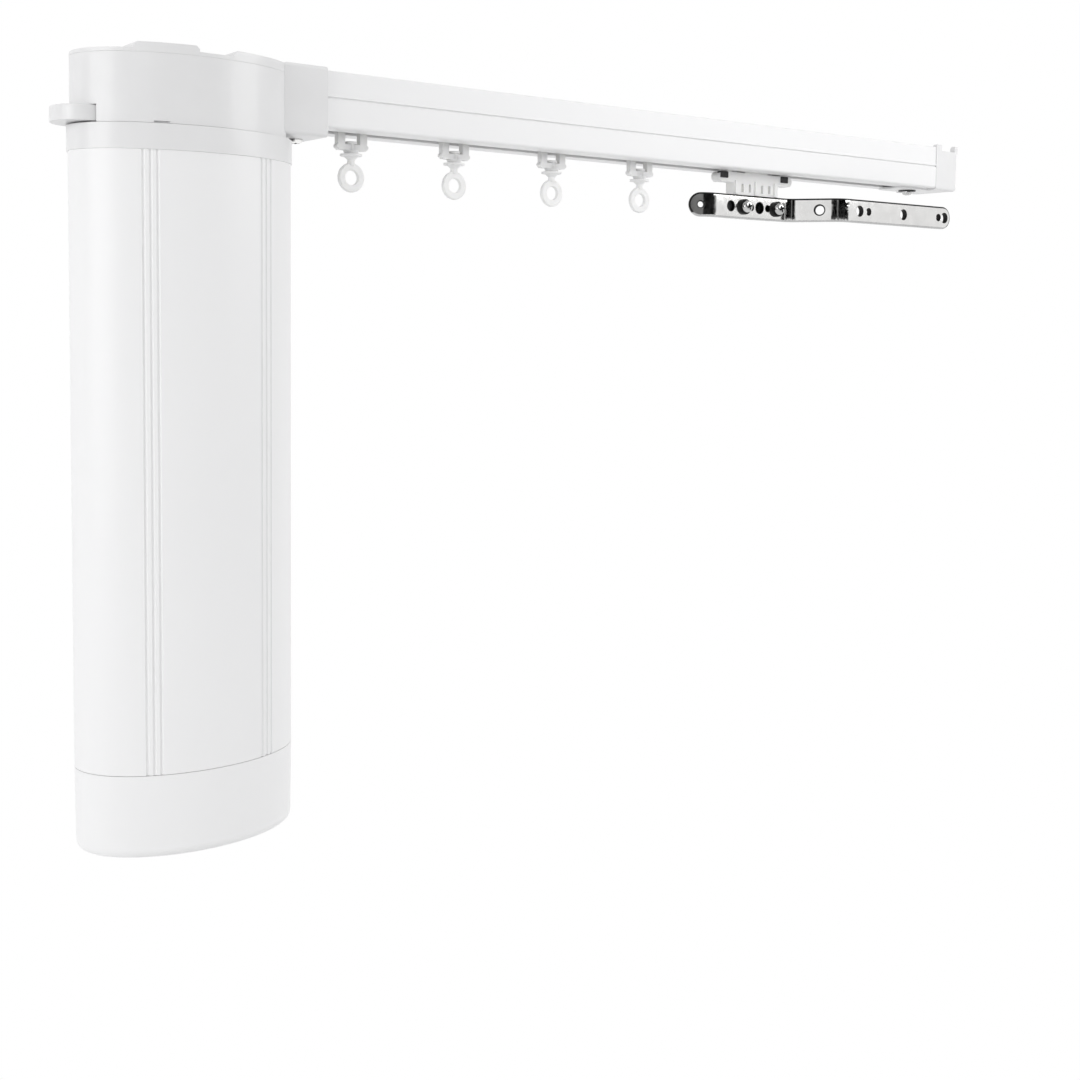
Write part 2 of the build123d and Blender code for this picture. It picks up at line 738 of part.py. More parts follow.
def make_release_tab():
    """A thumb tongue outside, and inside the head a frame that hooks under the collar's catch."""
    tip = -body_half_length - tab_reach
    straight = tab_half_width * tab_tip_share
    root = spring_start - overrun
    points = [(root, -tab_half_width), (-head_half_length + tab_reach / 2, -tab_half_width)]
    with BuildSketch(Plane.XY.offset(-tab_bottom)) as outline:
        with BuildLine():
            start = (points[1][0], -tab_half_width)
            front = (tip + tab_reach / 3, -straight)
            Polyline(points[0], start)
            l1 = Spline(start, (tip + tab_reach * tab_flare_share, -(straight + tab_half_width) / 2), front)
            arc = ThreePointArc(front, (tip, 0), (front[0], -front[1]))
            l2 = Spline((front[0], -front[1]), (tip + tab_reach * tab_flare_share, (straight + tab_half_width) / 2),
                        (start[0], -start[1]))
            Polyline((start[0], -start[1]), (points[0][0], tab_half_width), points[0])
        make_face()
    tongue = Pos(motor_x, 0, 0) * extrude(outline.sketch, tab_bottom - tab_top)
    rim = tongue.faces().sort_by(Axis.Z)[-1].edges().sort_by(Axis.X)[0]
    tongue = fillet(rim, tab_edge)
    frame = block(motor_x + root, motor_x + tab_frame_end, -tab_half_width, tab_half_width,
                  -tab_bottom, -tab_frame_top)
    hollow = block(motor_x - socket_radius - tab_travel - overrun, motor_x + tab_frame_end - tab_frame_bar,
                   -tab_half_width + tab_frame_rail, tab_half_width - tab_frame_rail,
                   -tab_bottom - overrun, -tab_frame_top + overrun)
    body = tongue + (frame - hollow)
    pocket_end = spring_start + spring_length + spring_post + rest_gap
    body -= block(motor_x + spring_start, motor_x + pocket_end, -spring_pocket, spring_pocket,
                  -tab_bottom - overrun, -tab_top + overrun)
    return body


def make_tab_spring():
    """A coil spring along X between the tab and the head's fixed post."""
    reach = spring_length - spring_wire
    path = Helix(reach / spring_turns, reach, spring_radius)
    start = path @ 0
    section = Plane(origin=start, z_dir=path % 0) * RegularPolygon(spring_wire / 2, 6)
    coil = sweep(section, path=path)
    middle = -(tab_bottom + tab_frame_top) / 2
    return Pos(motor_x + spring_start + spring_wire / 2, 0, middle) * Rot(0, 90, 0) * coil


def make_collar():
    outer_a = body_half_length + collar_proud
    outer_b = body_half_depth + collar_proud
    body = oval(outer_a, outer_b, -body_top, -collar_top)
    body -= oval(outer_a - collar_wall, outer_b - collar_wall, -deck_top, -collar_top + overrun)
    body -= oval(outer_a - collar_wall, outer_b - collar_wall, -body_top - overrun, -gearbox_top)
    skirt_a = body_half_length - body_wall - slide_gap
    skirt_b = body_half_depth - body_wall - slide_gap
    skirt = oval(skirt_a, skirt_b, -body_top - skirt_depth, -gearbox_top)
    skirt -= oval(skirt_a - skirt_wall, skirt_b - skirt_wall, -body_top - skirt_depth - overrun,
                  -gearbox_top + overrun)
    body += skirt
    body -= post(deck_bore, -gearbox_top - overrun, -deck_top + overrun, motor_x)
    stem = motor_x + catch_stem_start
    lip_end = stem + catch_stem + catch_lip
    half = catch_width / 2
    body += block(stem, stem + catch_stem, -half, half, -deck_top - overrun, -catch_top)
    body += block(stem, lip_end, -half, half, -catch_top - catch_lip_height, -catch_top)
    for x, y in deck_screw_places():
        body -= post(deck_screw_radius, -gearbox_top - overrun, -deck_top + overrun, x, y)
    return body


def deck_screw_places():
    side = deck_screw_circle / sqrt(2)
    return [(motor_x + i * side, j * side) for i in (-1, 1) for j in (-1, 1)]


def make_gearbox_screws():
    return [screw(x, y, -deck_top, deck_screw_radius, deck_screw_head, deck_screw_head_height,
                  deck_screw_length, up=-1) for x, y in deck_screw_places()]


def gear_points(teeth, low, high, phase, swell, steps=3):
    """Outline of a spur gear with involute flanks; swell moves each flank outwards."""
    pitch = gear_module * teeth / 2
    base = pitch * cos(radians(pressure_angle))

    def roll(radius):
        angle = acos(min(base / radius, 1))
        return tan(angle) - angle

    half = pi / (2 * teeth) + swell / pitch + roll(pitch)
    start = max(low, base)
    radii = [start + (high - start) * i / steps for i in range(steps + 1)]
    flank = [(radius, half - roll(radius)) for radius in radii]
    if low < base:
        flank.insert(0, (low, flank[0][1]))
    points = []
    for tooth in range(teeth):
        middle = phase + 2 * pi * tooth / teeth
        points += [polar(radius, middle - angle) for radius, angle in flank]
        points += [polar(radius, middle + angle) for radius, angle in reversed(flank)]
    return points


def spur_gear(teeth, phase):
    pitch = gear_module * teeth / 2
    points = gear_points(teeth, pitch - dedendum_share * gear_module, pitch + addendum_share * gear_module,
                         phase, -flank_gap)
    return extrude(Polygon(*points, align=None), gear_face)


def planet_angle(index):
    return 2 * pi * index / planet_count


def planet_phase(index):
    """Turns a planet so that one of its spaces takes the sun's tooth."""
    angle = planet_angle(index)
    sun_share = angle / (2 * pi / sun_teeth)
    return angle + pi - (0.5 - sun_share) * 2 * pi / planet_teeth


def make_planet(index):
    x, y = polar(gear_centres, planet_angle(index))
    gear = Pos(motor_x + x, y, -gear_bottom) * spur_gear(planet_teeth, planet_phase(index))
    return gear - post(planet_pin + shaft_gap, -gear_bottom - overrun, -gear_top + overrun, motor_x + x, y)


def make_ring_gear():
    """The gearbox's housing, with the ring's teeth cut in its wall."""
    body = post(gearbox_radius, -gearbox_bottom, -gearbox_top, motor_x)
    root = ring_radius + dedendum_share * gear_module
    tip = ring_radius - addendum_share * gear_module
    phase = planet_phase(0) - planet_angle(0)
    share = (phase / (2 * pi / planet_teeth)) % 1
    space = planet_angle(0) + share * 2 * pi / ring_teeth
    chamber_top = -gearbox_top - gearbox_cover
    body -= post(root, -gear_top + gear_drop, chamber_top, motor_x)
    teeth = gear_points(ring_teeth, tip, root, space, flank_gap, steps=2)
    body -= extrude(Pos(motor_x, 0, -gearbox_bottom - overrun) * Polygon(*teeth, align=None),
                    gearbox_bottom - gear_top + gear_drop + 2 * overrun)
    body -= post(output_radius + shaft_gap, chamber_top - overrun, -gearbox_top + overrun, motor_x)
    for x, y in deck_screw_places():
        body -= post(deck_screw_radius, chamber_top, -gearbox_top + overrun, x, y)
    return body


def make_planet_carrier():
    """Disc with the planets' pins below it and the output shaft above it."""
    disc_bottom = -arm_disc_top - arm_disc_thickness
    body = post(arm_disc_radius, disc_bottom, -arm_disc_top, motor_x)
    body += post(output_radius, -arm_disc_top - overrun, -deck_top, motor_x)
    for index in range(planet_count):
        x, y = polar(gear_centres, planet_angle(index))
        body += post(planet_pin, -gear_bottom - overrun, disc_bottom + overrun, motor_x + x, y)
    return body


def make_output_coupling():
    """Male hexagon on the gearbox's shaft, for the socket in the head."""
    foot_top = -deck_top + 2 * overrun
    body = post(output_radius + overrun, -deck_top, foot_top, motor_x)
    body += hexagon(drive_hex, foot_top - overrun, -socket_bottom + socket_depth - rest_gap)
    return body


def make_motor_can():
    body = post(gearbox_radius, -gearbox_bottom - can_flange, -gearbox_bottom, motor_x)
    body += post(can_radius, -can_bottom, -gearbox_bottom - can_flange + overrun, motor_x)
    body += post(tail_boss_radius, -can_bottom - tail_boss, -can_bottom + overrun, motor_x)
    body -= post(can_radius - can_wall, -can_bottom + can_wall, -gearbox_bottom - can_flange, motor_x)
    body -= post(rotor_shaft + shaft_gap, -can_bottom - tail_boss + can_wall, -gearbox_bottom + overrun, motor_x)
    return body


def make_rotor():
    """Armature and shaft, with the sun gear cut on the shaft's upper end."""
    armature_top = -gearbox_bottom - armature_drop
    body = post(armature_radius, armature_top - armature_length, armature_top, motor_x)
    body = chamfer(body.edges(), rotor_shaft / 2)
    body += post(rotor_shaft, -can_bottom - tail_boss + can_wall + rest_gap, -gear_bottom, motor_x)
    return body + Pos(motor_x, 0, -gear_bottom) * spur_gear(sun_teeth, 0)


def flute_places():
    first = flute_centre - flute_pitch * (flute_count - 1) / 2
    return [side * (first + flute * flute_pitch) for side in (-1, 1) for flute in range(flute_count)]


def make_body_shell():
    """Extruded oval tube with three fine flutes in each of four places."""
    with BuildSketch() as section:
        Ellipse(body_half_length, body_half_depth)
        Ellipse(body_half_length - body_wall, body_half_depth - body_wall, mode=Mode.SUBTRACT)
        for x in flute_places():
            y = body_half_depth * sqrt(1 - (x / body_half_length) ** 2)
            for side in (-1, 1):
                with Locations((x, side * (y + flute_radius - flute_depth))):
                    Circle(flute_radius, mode=Mode.SUBTRACT)
    return Pos(motor_x, 0, -body_bottom) * extrude(section.sketch, body_length)


def make_board():
    bottom = -bulkhead_top
    return block(motor_x + board_x, motor_x + board_x + board_thickness,
                 -board_half_width, board_half_width, bottom, -board_top)


def make_board_parts():
    """Relay, capacitors and chips, seated on the board's inner face."""
    face = motor_x + board_x
    parts = []
    relay_z = -(can_bottom + bulkhead_top - board_rail_depth) / 2
    parts.append(block(face - relay_height, face, -relay_width / 2, relay_width / 2,
                       relay_z - relay_length / 2, relay_z + relay_length / 2))
    for side in (-1, 1):
        z = relay_z
        y = side * (relay_width / 2 + capacitor_radius + overrun / 2)
        cap = Pos(face - capacitor_height / 2, y, z) * Rot(0, 90, 0) * Cylinder(capacitor_radius,
                                                                                capacitor_height)
        parts.append(cap)
        outer = face + board_thickness
        chip_z = -board_top - (can_bottom - board_top) / 2 + side * 2 * chip_size
        parts.append(block(outer, outer + chip_height, -chip_size / 2, chip_size / 2,
                           chip_z - chip_size / 2, chip_z + chip_size / 2))
    return parts


def inner_oval(gap, z0, z1):
    """The body's inside, less a gap all round."""
    return oval(body_half_length - body_wall - gap, body_half_depth - body_wall - gap, z0, z1)


def make_bulkhead():
    bottom = -bulkhead_top - bulkhead_thickness
    body = inner_oval(slide_gap, bottom, -bulkhead_top + bulkhead_rim)
    body -= inner_oval(slide_gap + skirt_wall, -bulkhead_top, -bulkhead_top + bulkhead_rim + overrun)
    for start in (motor_x + board_x - board_rail, motor_x + board_x + board_thickness):
        body += block(start, start + board_rail, -board_half_width, board_half_width,
                      -bulkhead_top - overrun, -bulkhead_top + board_rail_depth)
    return body


def cell_columns():
    y = tray_web / 2 + cell_gap + cell_radius
    return [(motor_x + i * cell_spacing / 2, j * y) for i in (-1, 1) for j in (-1, 1)]


def cell_floors():
    """The lower end of each layer of cells, from the top down."""
    pitch = cell_length + cell_nub + contact_thickness + cell_gap
    top = -tray_top - tray_plate - contact_thickness - cell_gap / 2
    return [top - cell_length - cell_nub - layer * pitch for layer in range(cell_layers)]


def make_bulkhead_contacts():
    """Two spring plates that touch the drawer's top terminals."""
    bottom = -tray_top + slide_gap
    top = -bulkhead_top - bulkhead_thickness
    plates = []
    for side in (-1, 1):
        x = motor_x + side * cell_spacing / 2
        plates.append(block(x - contact_radius, x + contact_radius, -contact_radius, contact_radius,
                            top - contact_thickness, top)
                      + post(contact_radius / 2, bottom, top, x))
    return plates


def make_battery_tray():
    """Central web with end plates; the lower plate sits on the bottom cap's spigot."""
    floor = -body_bottom + cap_spigot
    body = inner_oval(rest_gap, floor, floor + tray_plate)
    top = Pos(motor_x, 0, -tray_top - tray_plate) * Ellipse(tray_end_half_length, tray_end_half_depth)
    body += extrude(top, tray_plate)
    body += block(motor_x - tray_web_half, motor_x + tray_web_half, -tray_web / 2, tray_web / 2,
                  floor, -tray_top - tray_plate / 2)
    reach = cell_columns()[-1][1] + cell_radius / 2
    for side in (-1, 1):
        rail = motor_x + side * tray_web_half
        body += block(rail - tray_web / 2, rail + tray_web / 2, -reach, reach, floor, -tray_top - tray_plate / 2)
    under = cell_floors()[-1] - cell_gap / 2 - contact_thickness
    body += block(motor_x - tray_web_half, motor_x + tray_web_half, -reach, reach, floor, under)
    return body


def make_cells():
    cells = []
    for index, (x, y) in enumerate(cell_columns()):
        for floor in cell_floors():
            flip = index % 2
            base = floor + cell_nub * flip
            cell = post(cell_radius, base, base + cell_length, x, y)
            nub = base - cell_nub if flip else base + cell_length
            cells.append(cell + post(cell_nub_radius, nub, nub + cell_nub, x, y))
    return cells


def make_battery_contacts():
    """Plates at both ends and between the two layers of cells."""
    upper, lower = cell_floors()
    seats = (-tray_top - tray_plate - contact_thickness, upper - cell_gap / 2 - contact_thickness,
             lower - cell_gap / 2 - contact_thickness)
    plates = []
    for x, y in cell_columns():
        for seat in seats:
            plates.append(post(contact_radius, seat, seat + contact_thickness, x, y))
    return plates


def make_bottom_cap():
    """Deep oval cup, slightly tapered, that carries the battery drawer."""
    top = Pos(motor_x, 0, -body_bottom - seat_gap) * Ellipse(body_half_length, body_half_depth)
    low = Pos(motor_x, 0, -cap_bottom) * Ellipse(body_half_length - cap_taper, body_half_depth - cap_taper)
    body = loft([top, low])
    body = fillet(body.faces().sort_by(Axis.Z)[0].edges(), cap_edge)
    body += inner_oval(rest_gap, -body_bottom - overrun, -body_bottom + cap_spigot)
    wall = cap_wall + body_wall
    hollow = oval(body_half_length - wall, body_half_depth - wall, -cap_bottom + cap_wall + cap_edge,
                  -body_bottom + cap_spigot + overrun)
    return body - hollow


def axle_pair(x):
    """Two rollers on one axle, across the track."""
    pair = cross_rod(axle_radius, x, roller_z, -roller_outer, roller_outer)
    for side in (-1, 1):
        roller = cross_rod(roller_radius, x, roller_z, side * roller_inner, side * roller_outer)
        pair += chamfer(roller.edges(), axle_radius / 3)
    return pair


def make_glider(x):
    bar_bottom = -glider_bar_top - glider_bar_thickness
    half = glider_bar_length / 2
    body = block(x - half, x + half, -glider_bar_depth / 2, glider_bar_depth / 2, bar_bottom, -glider_bar_top)
    for side in (-1, 1):
        bead_x = x + side * half
        body += cross_rod(glider_bar_bead, bead_x, -glider_bar_top - glider_bar_bead,
                          -glider_bar_depth / 2, glider_bar_depth / 2)
        post_x = x + side * post_spacing / 2
        leg = block(post_x - post_width / 2, post_x + post_width / 2, -post_depth / 2, post_depth / 2,
                    -glider_bar_top - glider_bar_bead, roller_z + post_width / 2)
        body += leg - cross_rod(axle_radius + shaft_gap, post_x, roller_z, -post_depth, post_depth)
    neck = Pos(x, 0, bar_bottom - glider_neck / 2) * Cone(glider_neck_bottom, glider_neck_top, glider_neck)
    body += neck
    return body - post(eyelet_stem + shaft_gap, bar_bottom - glider_neck - overrun, 0, x)


def make_eyelet():
    """Swivel stem with a head above the bar, a flange below it and the hook ring."""
    flange_top = -glider_bar_top - glider_bar_thickness - glider_neck - slide_gap
    flange_bottom = flange_top - eyelet_flange_thickness
    body = post(eyelet_flange, flange_bottom, flange_top)
    head_bottom_z = -glider_bar_top + slide_gap
    body += post(eyelet_stem, flange_bottom, head_bottom_z + eyelet_head_height)
    body += post(eyelet_head, head_bottom_z, head_bottom_z + eyelet_head_height)
    ring_z = -eyelet_ring_drop
    half = eyelet_thickness / 2
    ring = chamfer(cross_rod(eyelet_outer, 0, ring_z, -half, half).edges(), eyelet_chamfer)
    neck_bottom = ring_z + eyelet_outer - eyelet_chamfer
    neck_height = flange_bottom - neck_bottom
    flare_height = neck_height * eyelet_flare_share
    neck_radius = eyelet_neck
    body += Pos(0, 0, flange_bottom - flare_height / 2) * Cone(neck_radius, 2 * neck_radius, flare_height)
    body += post(neck_radius, neck_bottom - eyelet_chamfer, flange_bottom - flare_height)
    body += ring
    bore = cross_rod(eyelet_inner, 0, ring_z, -half - overrun, half + overrun)
    body -= bore
    mouth = eyelet_inner + eyelet_inner_chamfer
    for side in (-1, 1):
        flare = Cone(eyelet_inner - overrun, mouth + overrun, mouth - eyelet_inner + 2 * overrun)
        body -= Pos(0, side * (half - eyelet_inner_chamfer / 2), ring_z) * Rot(-90 * side, 0, 0) * flare
    return body


def carrier_axles():
    return [carrier_x + side * carrier_axle_spacing / 2 for side in (-1, 1)]


def make_carrier_body():
    half = carrier_length / 2
    deep = carrier_half_depth
    middle = (carrier_top + carrier_bottom) / 2
    body = block(carrier_x - half, carrier_x + half, -deep, deep, -carrier_bottom, -carrier_top)
    for side in (-1, 1):
        body += cross_rod(carrier_end_radius, carrier_x + side * half, -middle, -deep, deep)
    foot = carrier_foot_length / 2
    front = -carrier_foot_front
    body += block(carrier_x - foot, carrier_x + foot, front, front + carrier_foot_depth,
                  -carrier_foot_bottom, -carrier_bottom + overrun)
    for rib in range(carrier_rib_count):
        x = carrier_x + (rib - (carrier_rib_count - 1) / 2) * carrier_rib_pitch
        body += block(x - carrier_rib_width / 2, x + carrier_rib_width / 2, front - carrier_rib_proud, front + overrun,
                      -strap_drop + strap_height / 2 + rest_gap, -carrier_bottom + overrun)
    for side in (-1, 1):
        x = carrier_x + side * carrier_rib_pitch / 2
        for edge in (-carrier_slot_length, carrier_slot_length):
            body -= block(x + edge - carrier_slot_length / 3, x + edge + carrier_slot_length / 3,
                          front - overrun, front + carrier_slot_depth,
                          -carrier_bottom - carrier_slot_height, -carrier_bottom - overrun / 2)
    for place in bumper_places:
        pocket = carrier_x + place
        body -= block(pocket - bumper_length / 2, pocket + bumper_length / 2, -deep - overrun,
                      -deep + bumper_inset, -carrier_top - bumper_height, -carrier_top + overrun)
    half_post = carrier_half_depth
    for x in carrier_axles():
        leg = block(x - post_width / 2, x + post_width / 2, -half_post, half_post,
                    -carrier_top - overrun, roller_z + post_width / 2)
        body += leg - cross_rod(axle_radius + shaft_gap, x, roller_z, -post_depth, post_depth)
    body += block(carrier_x - clamp_length / 2, carrier_x + clamp_length / 2, -half_post, half_post,
                  -carrier_top - overrun, -ledge_top - ledge_thickness)
    for x in arm_screw_places():
        body -= cross_rod(arm_screw_radius, x, -strap_drop, front - overrun, front + arm_screw_length)
    return body


def make_bumpers():
    """Rubber pads let into the carrier's front, near its two ends."""
    pads = []
    for place in bumper_places:
        x = carrier_x + place
        pad = block(x - bumper_length / 2, x + bumper_length / 2, -carrier_half_depth - bumper_proud,
                    -carrier_half_depth + bumper_inset, -carrier_top - bumper_height, -carrier_top)
        edges = pad.faces().sort_by(Axis.Y)[0].edges()
        pads.append(fillet(edges, bumper_proud / 2))
    return pads


def make_belt_clamp():
    """Block in the track that grips the belt's front run over its upper edge."""
    x0 = carrier_x - clamp_length / 2
    x1 = carrier_x + clamp_length / 2
    seat = -ledge_top - ledge_thickness
    tooth_side = -(tooth_tip_radius - clamp_gap)
    back_side = -(belt_outer + clamp_gap)
    bridge = belt_top + clamp_gap
    half_post = post_depth / 2
    arm_bottom = -ledge_top + rest_gap
    body = block(x0, x1, -half_post, half_post, seat, arm_bottom + clamp_arm)
    body += block(x0, x1, tooth_side, half_post, arm_bottom, arm_bottom + clamp_arm)
    body += block(x0, x1, tooth_side, tooth_side + clamp_arm, arm_bottom, bridge + clamp_bridge)
    body += block(x0, x1, back_side - clamp_wall, tooth_side + clamp_arm, bridge, bridge + clamp_bridge)
    body += block(x0, x1, back_side - clamp_wall, back_side, belt_bottom, bridge + clamp_bridge)
    return body


def strap_path():
    """Middle line of the curtain arm in plan, from its tail to its far end."""
    y = -carrier_foot_front - strap_thickness / 2
    tail = radians(strap_tail_angle)
    first = (carrier_x + strap_front_start, y)
    second = (carrier_x + strap_front_end, y)
    jog = radians(strap_jog_angle)
    third = (second[0] + strap_jog_depth / tan(jog), y - strap_jog_depth)
    return [(first[0] - strap_tail_length * cos(tail), first[1] + strap_tail_length * sin(tail)),
            first, second, third, (carrier_x + strap_end, third[1])]


def along(a, b, share):
    return (a[0] + (b[0] - a[0]) * share, a[1] + (b[1] - a[1]) * share)


def arm_screw_places():
    path = strap_path()
    return [along(path[1], path[2], share)[0] for share in front_screw_shares]


def arm_holes():
    """Each open hole of the arm: its place in plan, the direction across the strap, and its radius."""
    tail, first, second, third, end = strap_path()
    tail_turn = radians(strap_tail_angle)
    jog_turn = radians(strap_jog_angle)
    front = (0, -1)
    holes = [(along(tail, first, strap_height / 2 / strap_tail_length), (-sin(tail_turn), -cos(tail_turn)), hole_small)]
    for share, radius in zip(front_hole_shares, (hole_large, hole_wide)):
        holes.append((along(first, second, share), front, radius))
    for share in front_small_shares:
        holes.append((along(first, second, share), front, hole_pilot))
    holes.append((along(second, third, jog_hole_share), (-sin(jog_turn), -cos(jog_turn)), hole_jog))
    for share in back_hole_shares:
        holes.append((along(third, end, share), front, hole_large))
    for share in back_small_shares:
        holes.append((along(third, end, share), front, hole_small))
    return holes


def through(place, direction, radius, reach):
    """A cylinder across the strap at a place in plan."""
    plane = Plane(origin=(place[0], place[1], -strap_drop), z_dir=(direction[0], direction[1], 0))
    return plane * Cylinder(radius, 2 * reach)


def make_arm():
    points = strap_path()
    ribbon = trace(FilletPolyline(*points, radius=strap_bend_radius), line_width=strap_thickness)
    low = -strap_drop - strap_height / 2
    body = extrude(Pos(0, 0, low) * ribbon, strap_height)
    half = strap_height / 2
    tail, first, second, third, end = points
    tail_turn = radians(strap_tail_angle)
    for place, inward, direction in ((tail, (cos(tail_turn), -sin(tail_turn)), (-sin(tail_turn), -cos(tail_turn))),
                                     (end, (-1, 0), (0, -1))):
        centre = (place[0] + inward[0] * half, place[1] + inward[1] * half)
        frame = Plane(origin=(centre[0], centre[1], -strap_drop), x_dir=(inward[0], inward[1], 0),
                      z_dir=(direction[0], direction[1], 0))
        square = Pos(-half, 0, 0) * Box(2 * half, 2 * strap_height, 2 * half)
        body -= frame * (square - Cylinder(half, 4 * half))
    for place, direction, radius in arm_holes():
        body -= through(place, direction, radius, strap_thickness)
    for x in arm_screw_places():
        body -= through((x, first[1]), (0, -1), arm_screw_radius + slide_gap, strap_thickness)
    return body


def make_arm_screws():
    front = -carrier_foot_front - strap_thickness
    screws = []
    for x in arm_screw_places():
        head = cross_rod(arm_screw_head, x, -strap_drop, front - arm_screw_head_height, front)
        head = fillet(head.faces().sort_by(Axis.Y)[0].edges(), arm_screw_head_height / 2)
        screws.append(head + cross_rod(arm_screw_radius, x, -strap_drop, front - overrun / 2,
                                       -carrier_foot_front + arm_screw_length - overrun))
    return screws


def save(name, shape):
    if isinstance(shape, list):
        shape = Compound(children=shape)
    export_step(shape, f"parts/{name}.step")


pieces = {
    "track_profile": make_track,
    "drive_belt": make_belt,
    "drive_pulley": make_drive_pulley,
    "idler_pulley": make_idler,
    "idler_pin": make_idler_pin,
    "end_cap": make_end_cap,
    "end_clamp_screw": make_clamp_screw,
    "adaptor_screw": make_adaptor_screw,
    "clamp_nuts": make_clamp_nuts,
    "head_housing": make_head_housing,
    "head_lid": make_head_lid,
    "head_screws": make_head_screws,
    "track_adaptor": make_adaptor,
    "drive_shaft": make_drive_shaft,
    "shaft_bearing": make_shaft_bearing,
    "release_tab": make_release_tab,
    "tab_spring": make_tab_spring,
    "motor_collar": make_collar,
    "gearbox_screws": make_gearbox_screws,
    "ring_gear": make_ring_gear,
    "planet_carrier": make_planet_carrier,
    "output_coupling": make_output_coupling,
    "motor_can": make_motor_can,
    "motor_rotor": make_rotor,
    "body_shell": make_body_shell,
    "circuit_board": make_board,
    "board_parts": make_board_parts,
    "lower_bulkhead": make_bulkhead,
    "bulkhead_contacts": make_bulkhead_contacts,
    "battery_tray": make_battery_tray,
    "battery_cells": make_cells,
    "battery_contacts": make_battery_contacts,
    "bottom_cap": make_bottom_cap,
    "carrier_body": make_carrier_body,
    "carrier_bumpers": make_bumpers,
    "belt_clamp": make_belt_clamp,
    "curtain_arm": make_arm,
    "arm_screws": make_arm_screws,
}
for name, make in pieces.items():
    save(name, make())
for index in range(planet_count):
    save(f"planet_gear_{index + 1}", make_planet(index))
for end, x in zip(("rear", "front"), carrier_axles()):
    save(f"carrier_{end}_rollers", axle_pair(x))
eyelet = make_eyelet()
for number, place in enumerate(glider_places, 1):
    save(f"glider_{number}_body", make_glider(place))
    save(f"glider_{number}_eyelet", Pos(place, 0, 0) * eyelet)
    for end, side in (("rear", -1), ("front", 1)):
        save(f"glider_{number}_{end}_rollers", axle_pair(place + side * post_spacing / 2))
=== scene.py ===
"""Electric curtain track: looks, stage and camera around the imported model."""
import math
from collections import namedtuple

import bmesh
import bpy
from bpy.props import FloatProperty, FloatVectorProperty, PointerProperty
from mathutils import Matrix, Vector


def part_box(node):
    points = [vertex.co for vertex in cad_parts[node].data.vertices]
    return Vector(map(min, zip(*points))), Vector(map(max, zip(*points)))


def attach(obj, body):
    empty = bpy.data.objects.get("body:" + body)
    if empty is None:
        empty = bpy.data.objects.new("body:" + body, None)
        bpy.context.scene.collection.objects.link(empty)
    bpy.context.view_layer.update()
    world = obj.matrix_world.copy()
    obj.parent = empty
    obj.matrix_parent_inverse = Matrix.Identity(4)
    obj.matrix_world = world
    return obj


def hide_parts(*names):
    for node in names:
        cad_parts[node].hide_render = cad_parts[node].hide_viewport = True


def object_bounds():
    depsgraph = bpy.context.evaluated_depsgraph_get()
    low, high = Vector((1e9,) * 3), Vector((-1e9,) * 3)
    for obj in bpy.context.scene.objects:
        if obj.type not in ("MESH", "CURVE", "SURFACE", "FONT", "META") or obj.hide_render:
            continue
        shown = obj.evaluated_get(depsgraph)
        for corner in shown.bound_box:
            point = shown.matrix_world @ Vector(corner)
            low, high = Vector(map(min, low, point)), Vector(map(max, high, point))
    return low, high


bl_info = {
    "name": "Electric Curtain Track",
    "version": (1, 0, 0),
    "blender": (4, 5, 0),
    "location": "View3D > Sidebar > Curtain Track",
    "description": "Finishes an electric curtain track: rail, oval motor, gliders and steel arm",
    "category": "Object",
}

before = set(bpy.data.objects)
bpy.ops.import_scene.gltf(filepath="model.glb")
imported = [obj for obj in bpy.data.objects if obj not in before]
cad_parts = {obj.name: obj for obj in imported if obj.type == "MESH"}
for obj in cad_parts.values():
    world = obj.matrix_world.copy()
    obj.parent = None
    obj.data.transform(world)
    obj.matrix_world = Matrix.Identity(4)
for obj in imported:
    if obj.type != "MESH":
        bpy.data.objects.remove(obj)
CAD_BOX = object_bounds()

MM = 0.001
ROOT = "rail_and_motor"
GLIDERS = (1, 2, 3, 4)
PLANETS = (1, 2, 3)

# Mesh work: distances in metres and angles in degrees
MERGE_DISTANCE = 0.000004
ROUNDED_MERGE_DISTANCE = 0.000002
SCORE_DISTANCE = 1e-7
FLAT_ANGLE = 0.6
STEEL_FLAT_ANGLE = 0.4
SHARP_ANGLE = 28.0
SMOOTH_ANGLE = 32.0
EDGE_SEGMENTS = 2

# Moulded pieces: CAD node, finished piece, its body, and its share of the moulded edge's radius
HEAD_PIECES = (
    ("head_housing", "head_shell", ROOT, 0.35),
    ("head_lid", "head_top", ROOT, 0.8),
    ("track_adaptor", "adaptor_sleeve", ROOT, 1.0),
    ("motor_collar", "collar_ring", ROOT, 0.5),
    ("release_tab", "thumb_tab", "release_tab", 0.6),
)
END_CAP_EDGE = 0.6

# Steel arm: a line 1 mm behind its front face, seen from above, with its corners and bend radii in mm
ARM_CORNERS = ((29.6, 2.14), (38.4, -4.0), (94.1, -4.0), (110.1, -26.2), (197.2, -26.2))
ARM_BENDS = (12.0, 7.5, 10.0)
ARM_BEND_STEPS = 12
ARM_FACES = (-1.0 * MM, 2.0 * MM)   # front and back face, from that line
ARM_BACK_EDGE = 0.3 * MM
# The dark rims are painted shade in the holes and along the front edge.
ARM_FINISHES = ("plated", "cut", "steel")   # flat faces, dark rims, plain outer edge
RIM_STEPS = 4
ROUND_END_STEPS = 24
HOLE_SIDES = 48
BEND_MARGIN = 0.2 * MM
# Above this height the front edge takes the dark steel as painted shade; below it, the edge stays plain
# steel.
DARK_EDGE_FROM = -0.7   # share of the half height above which the outer edge's front is dark
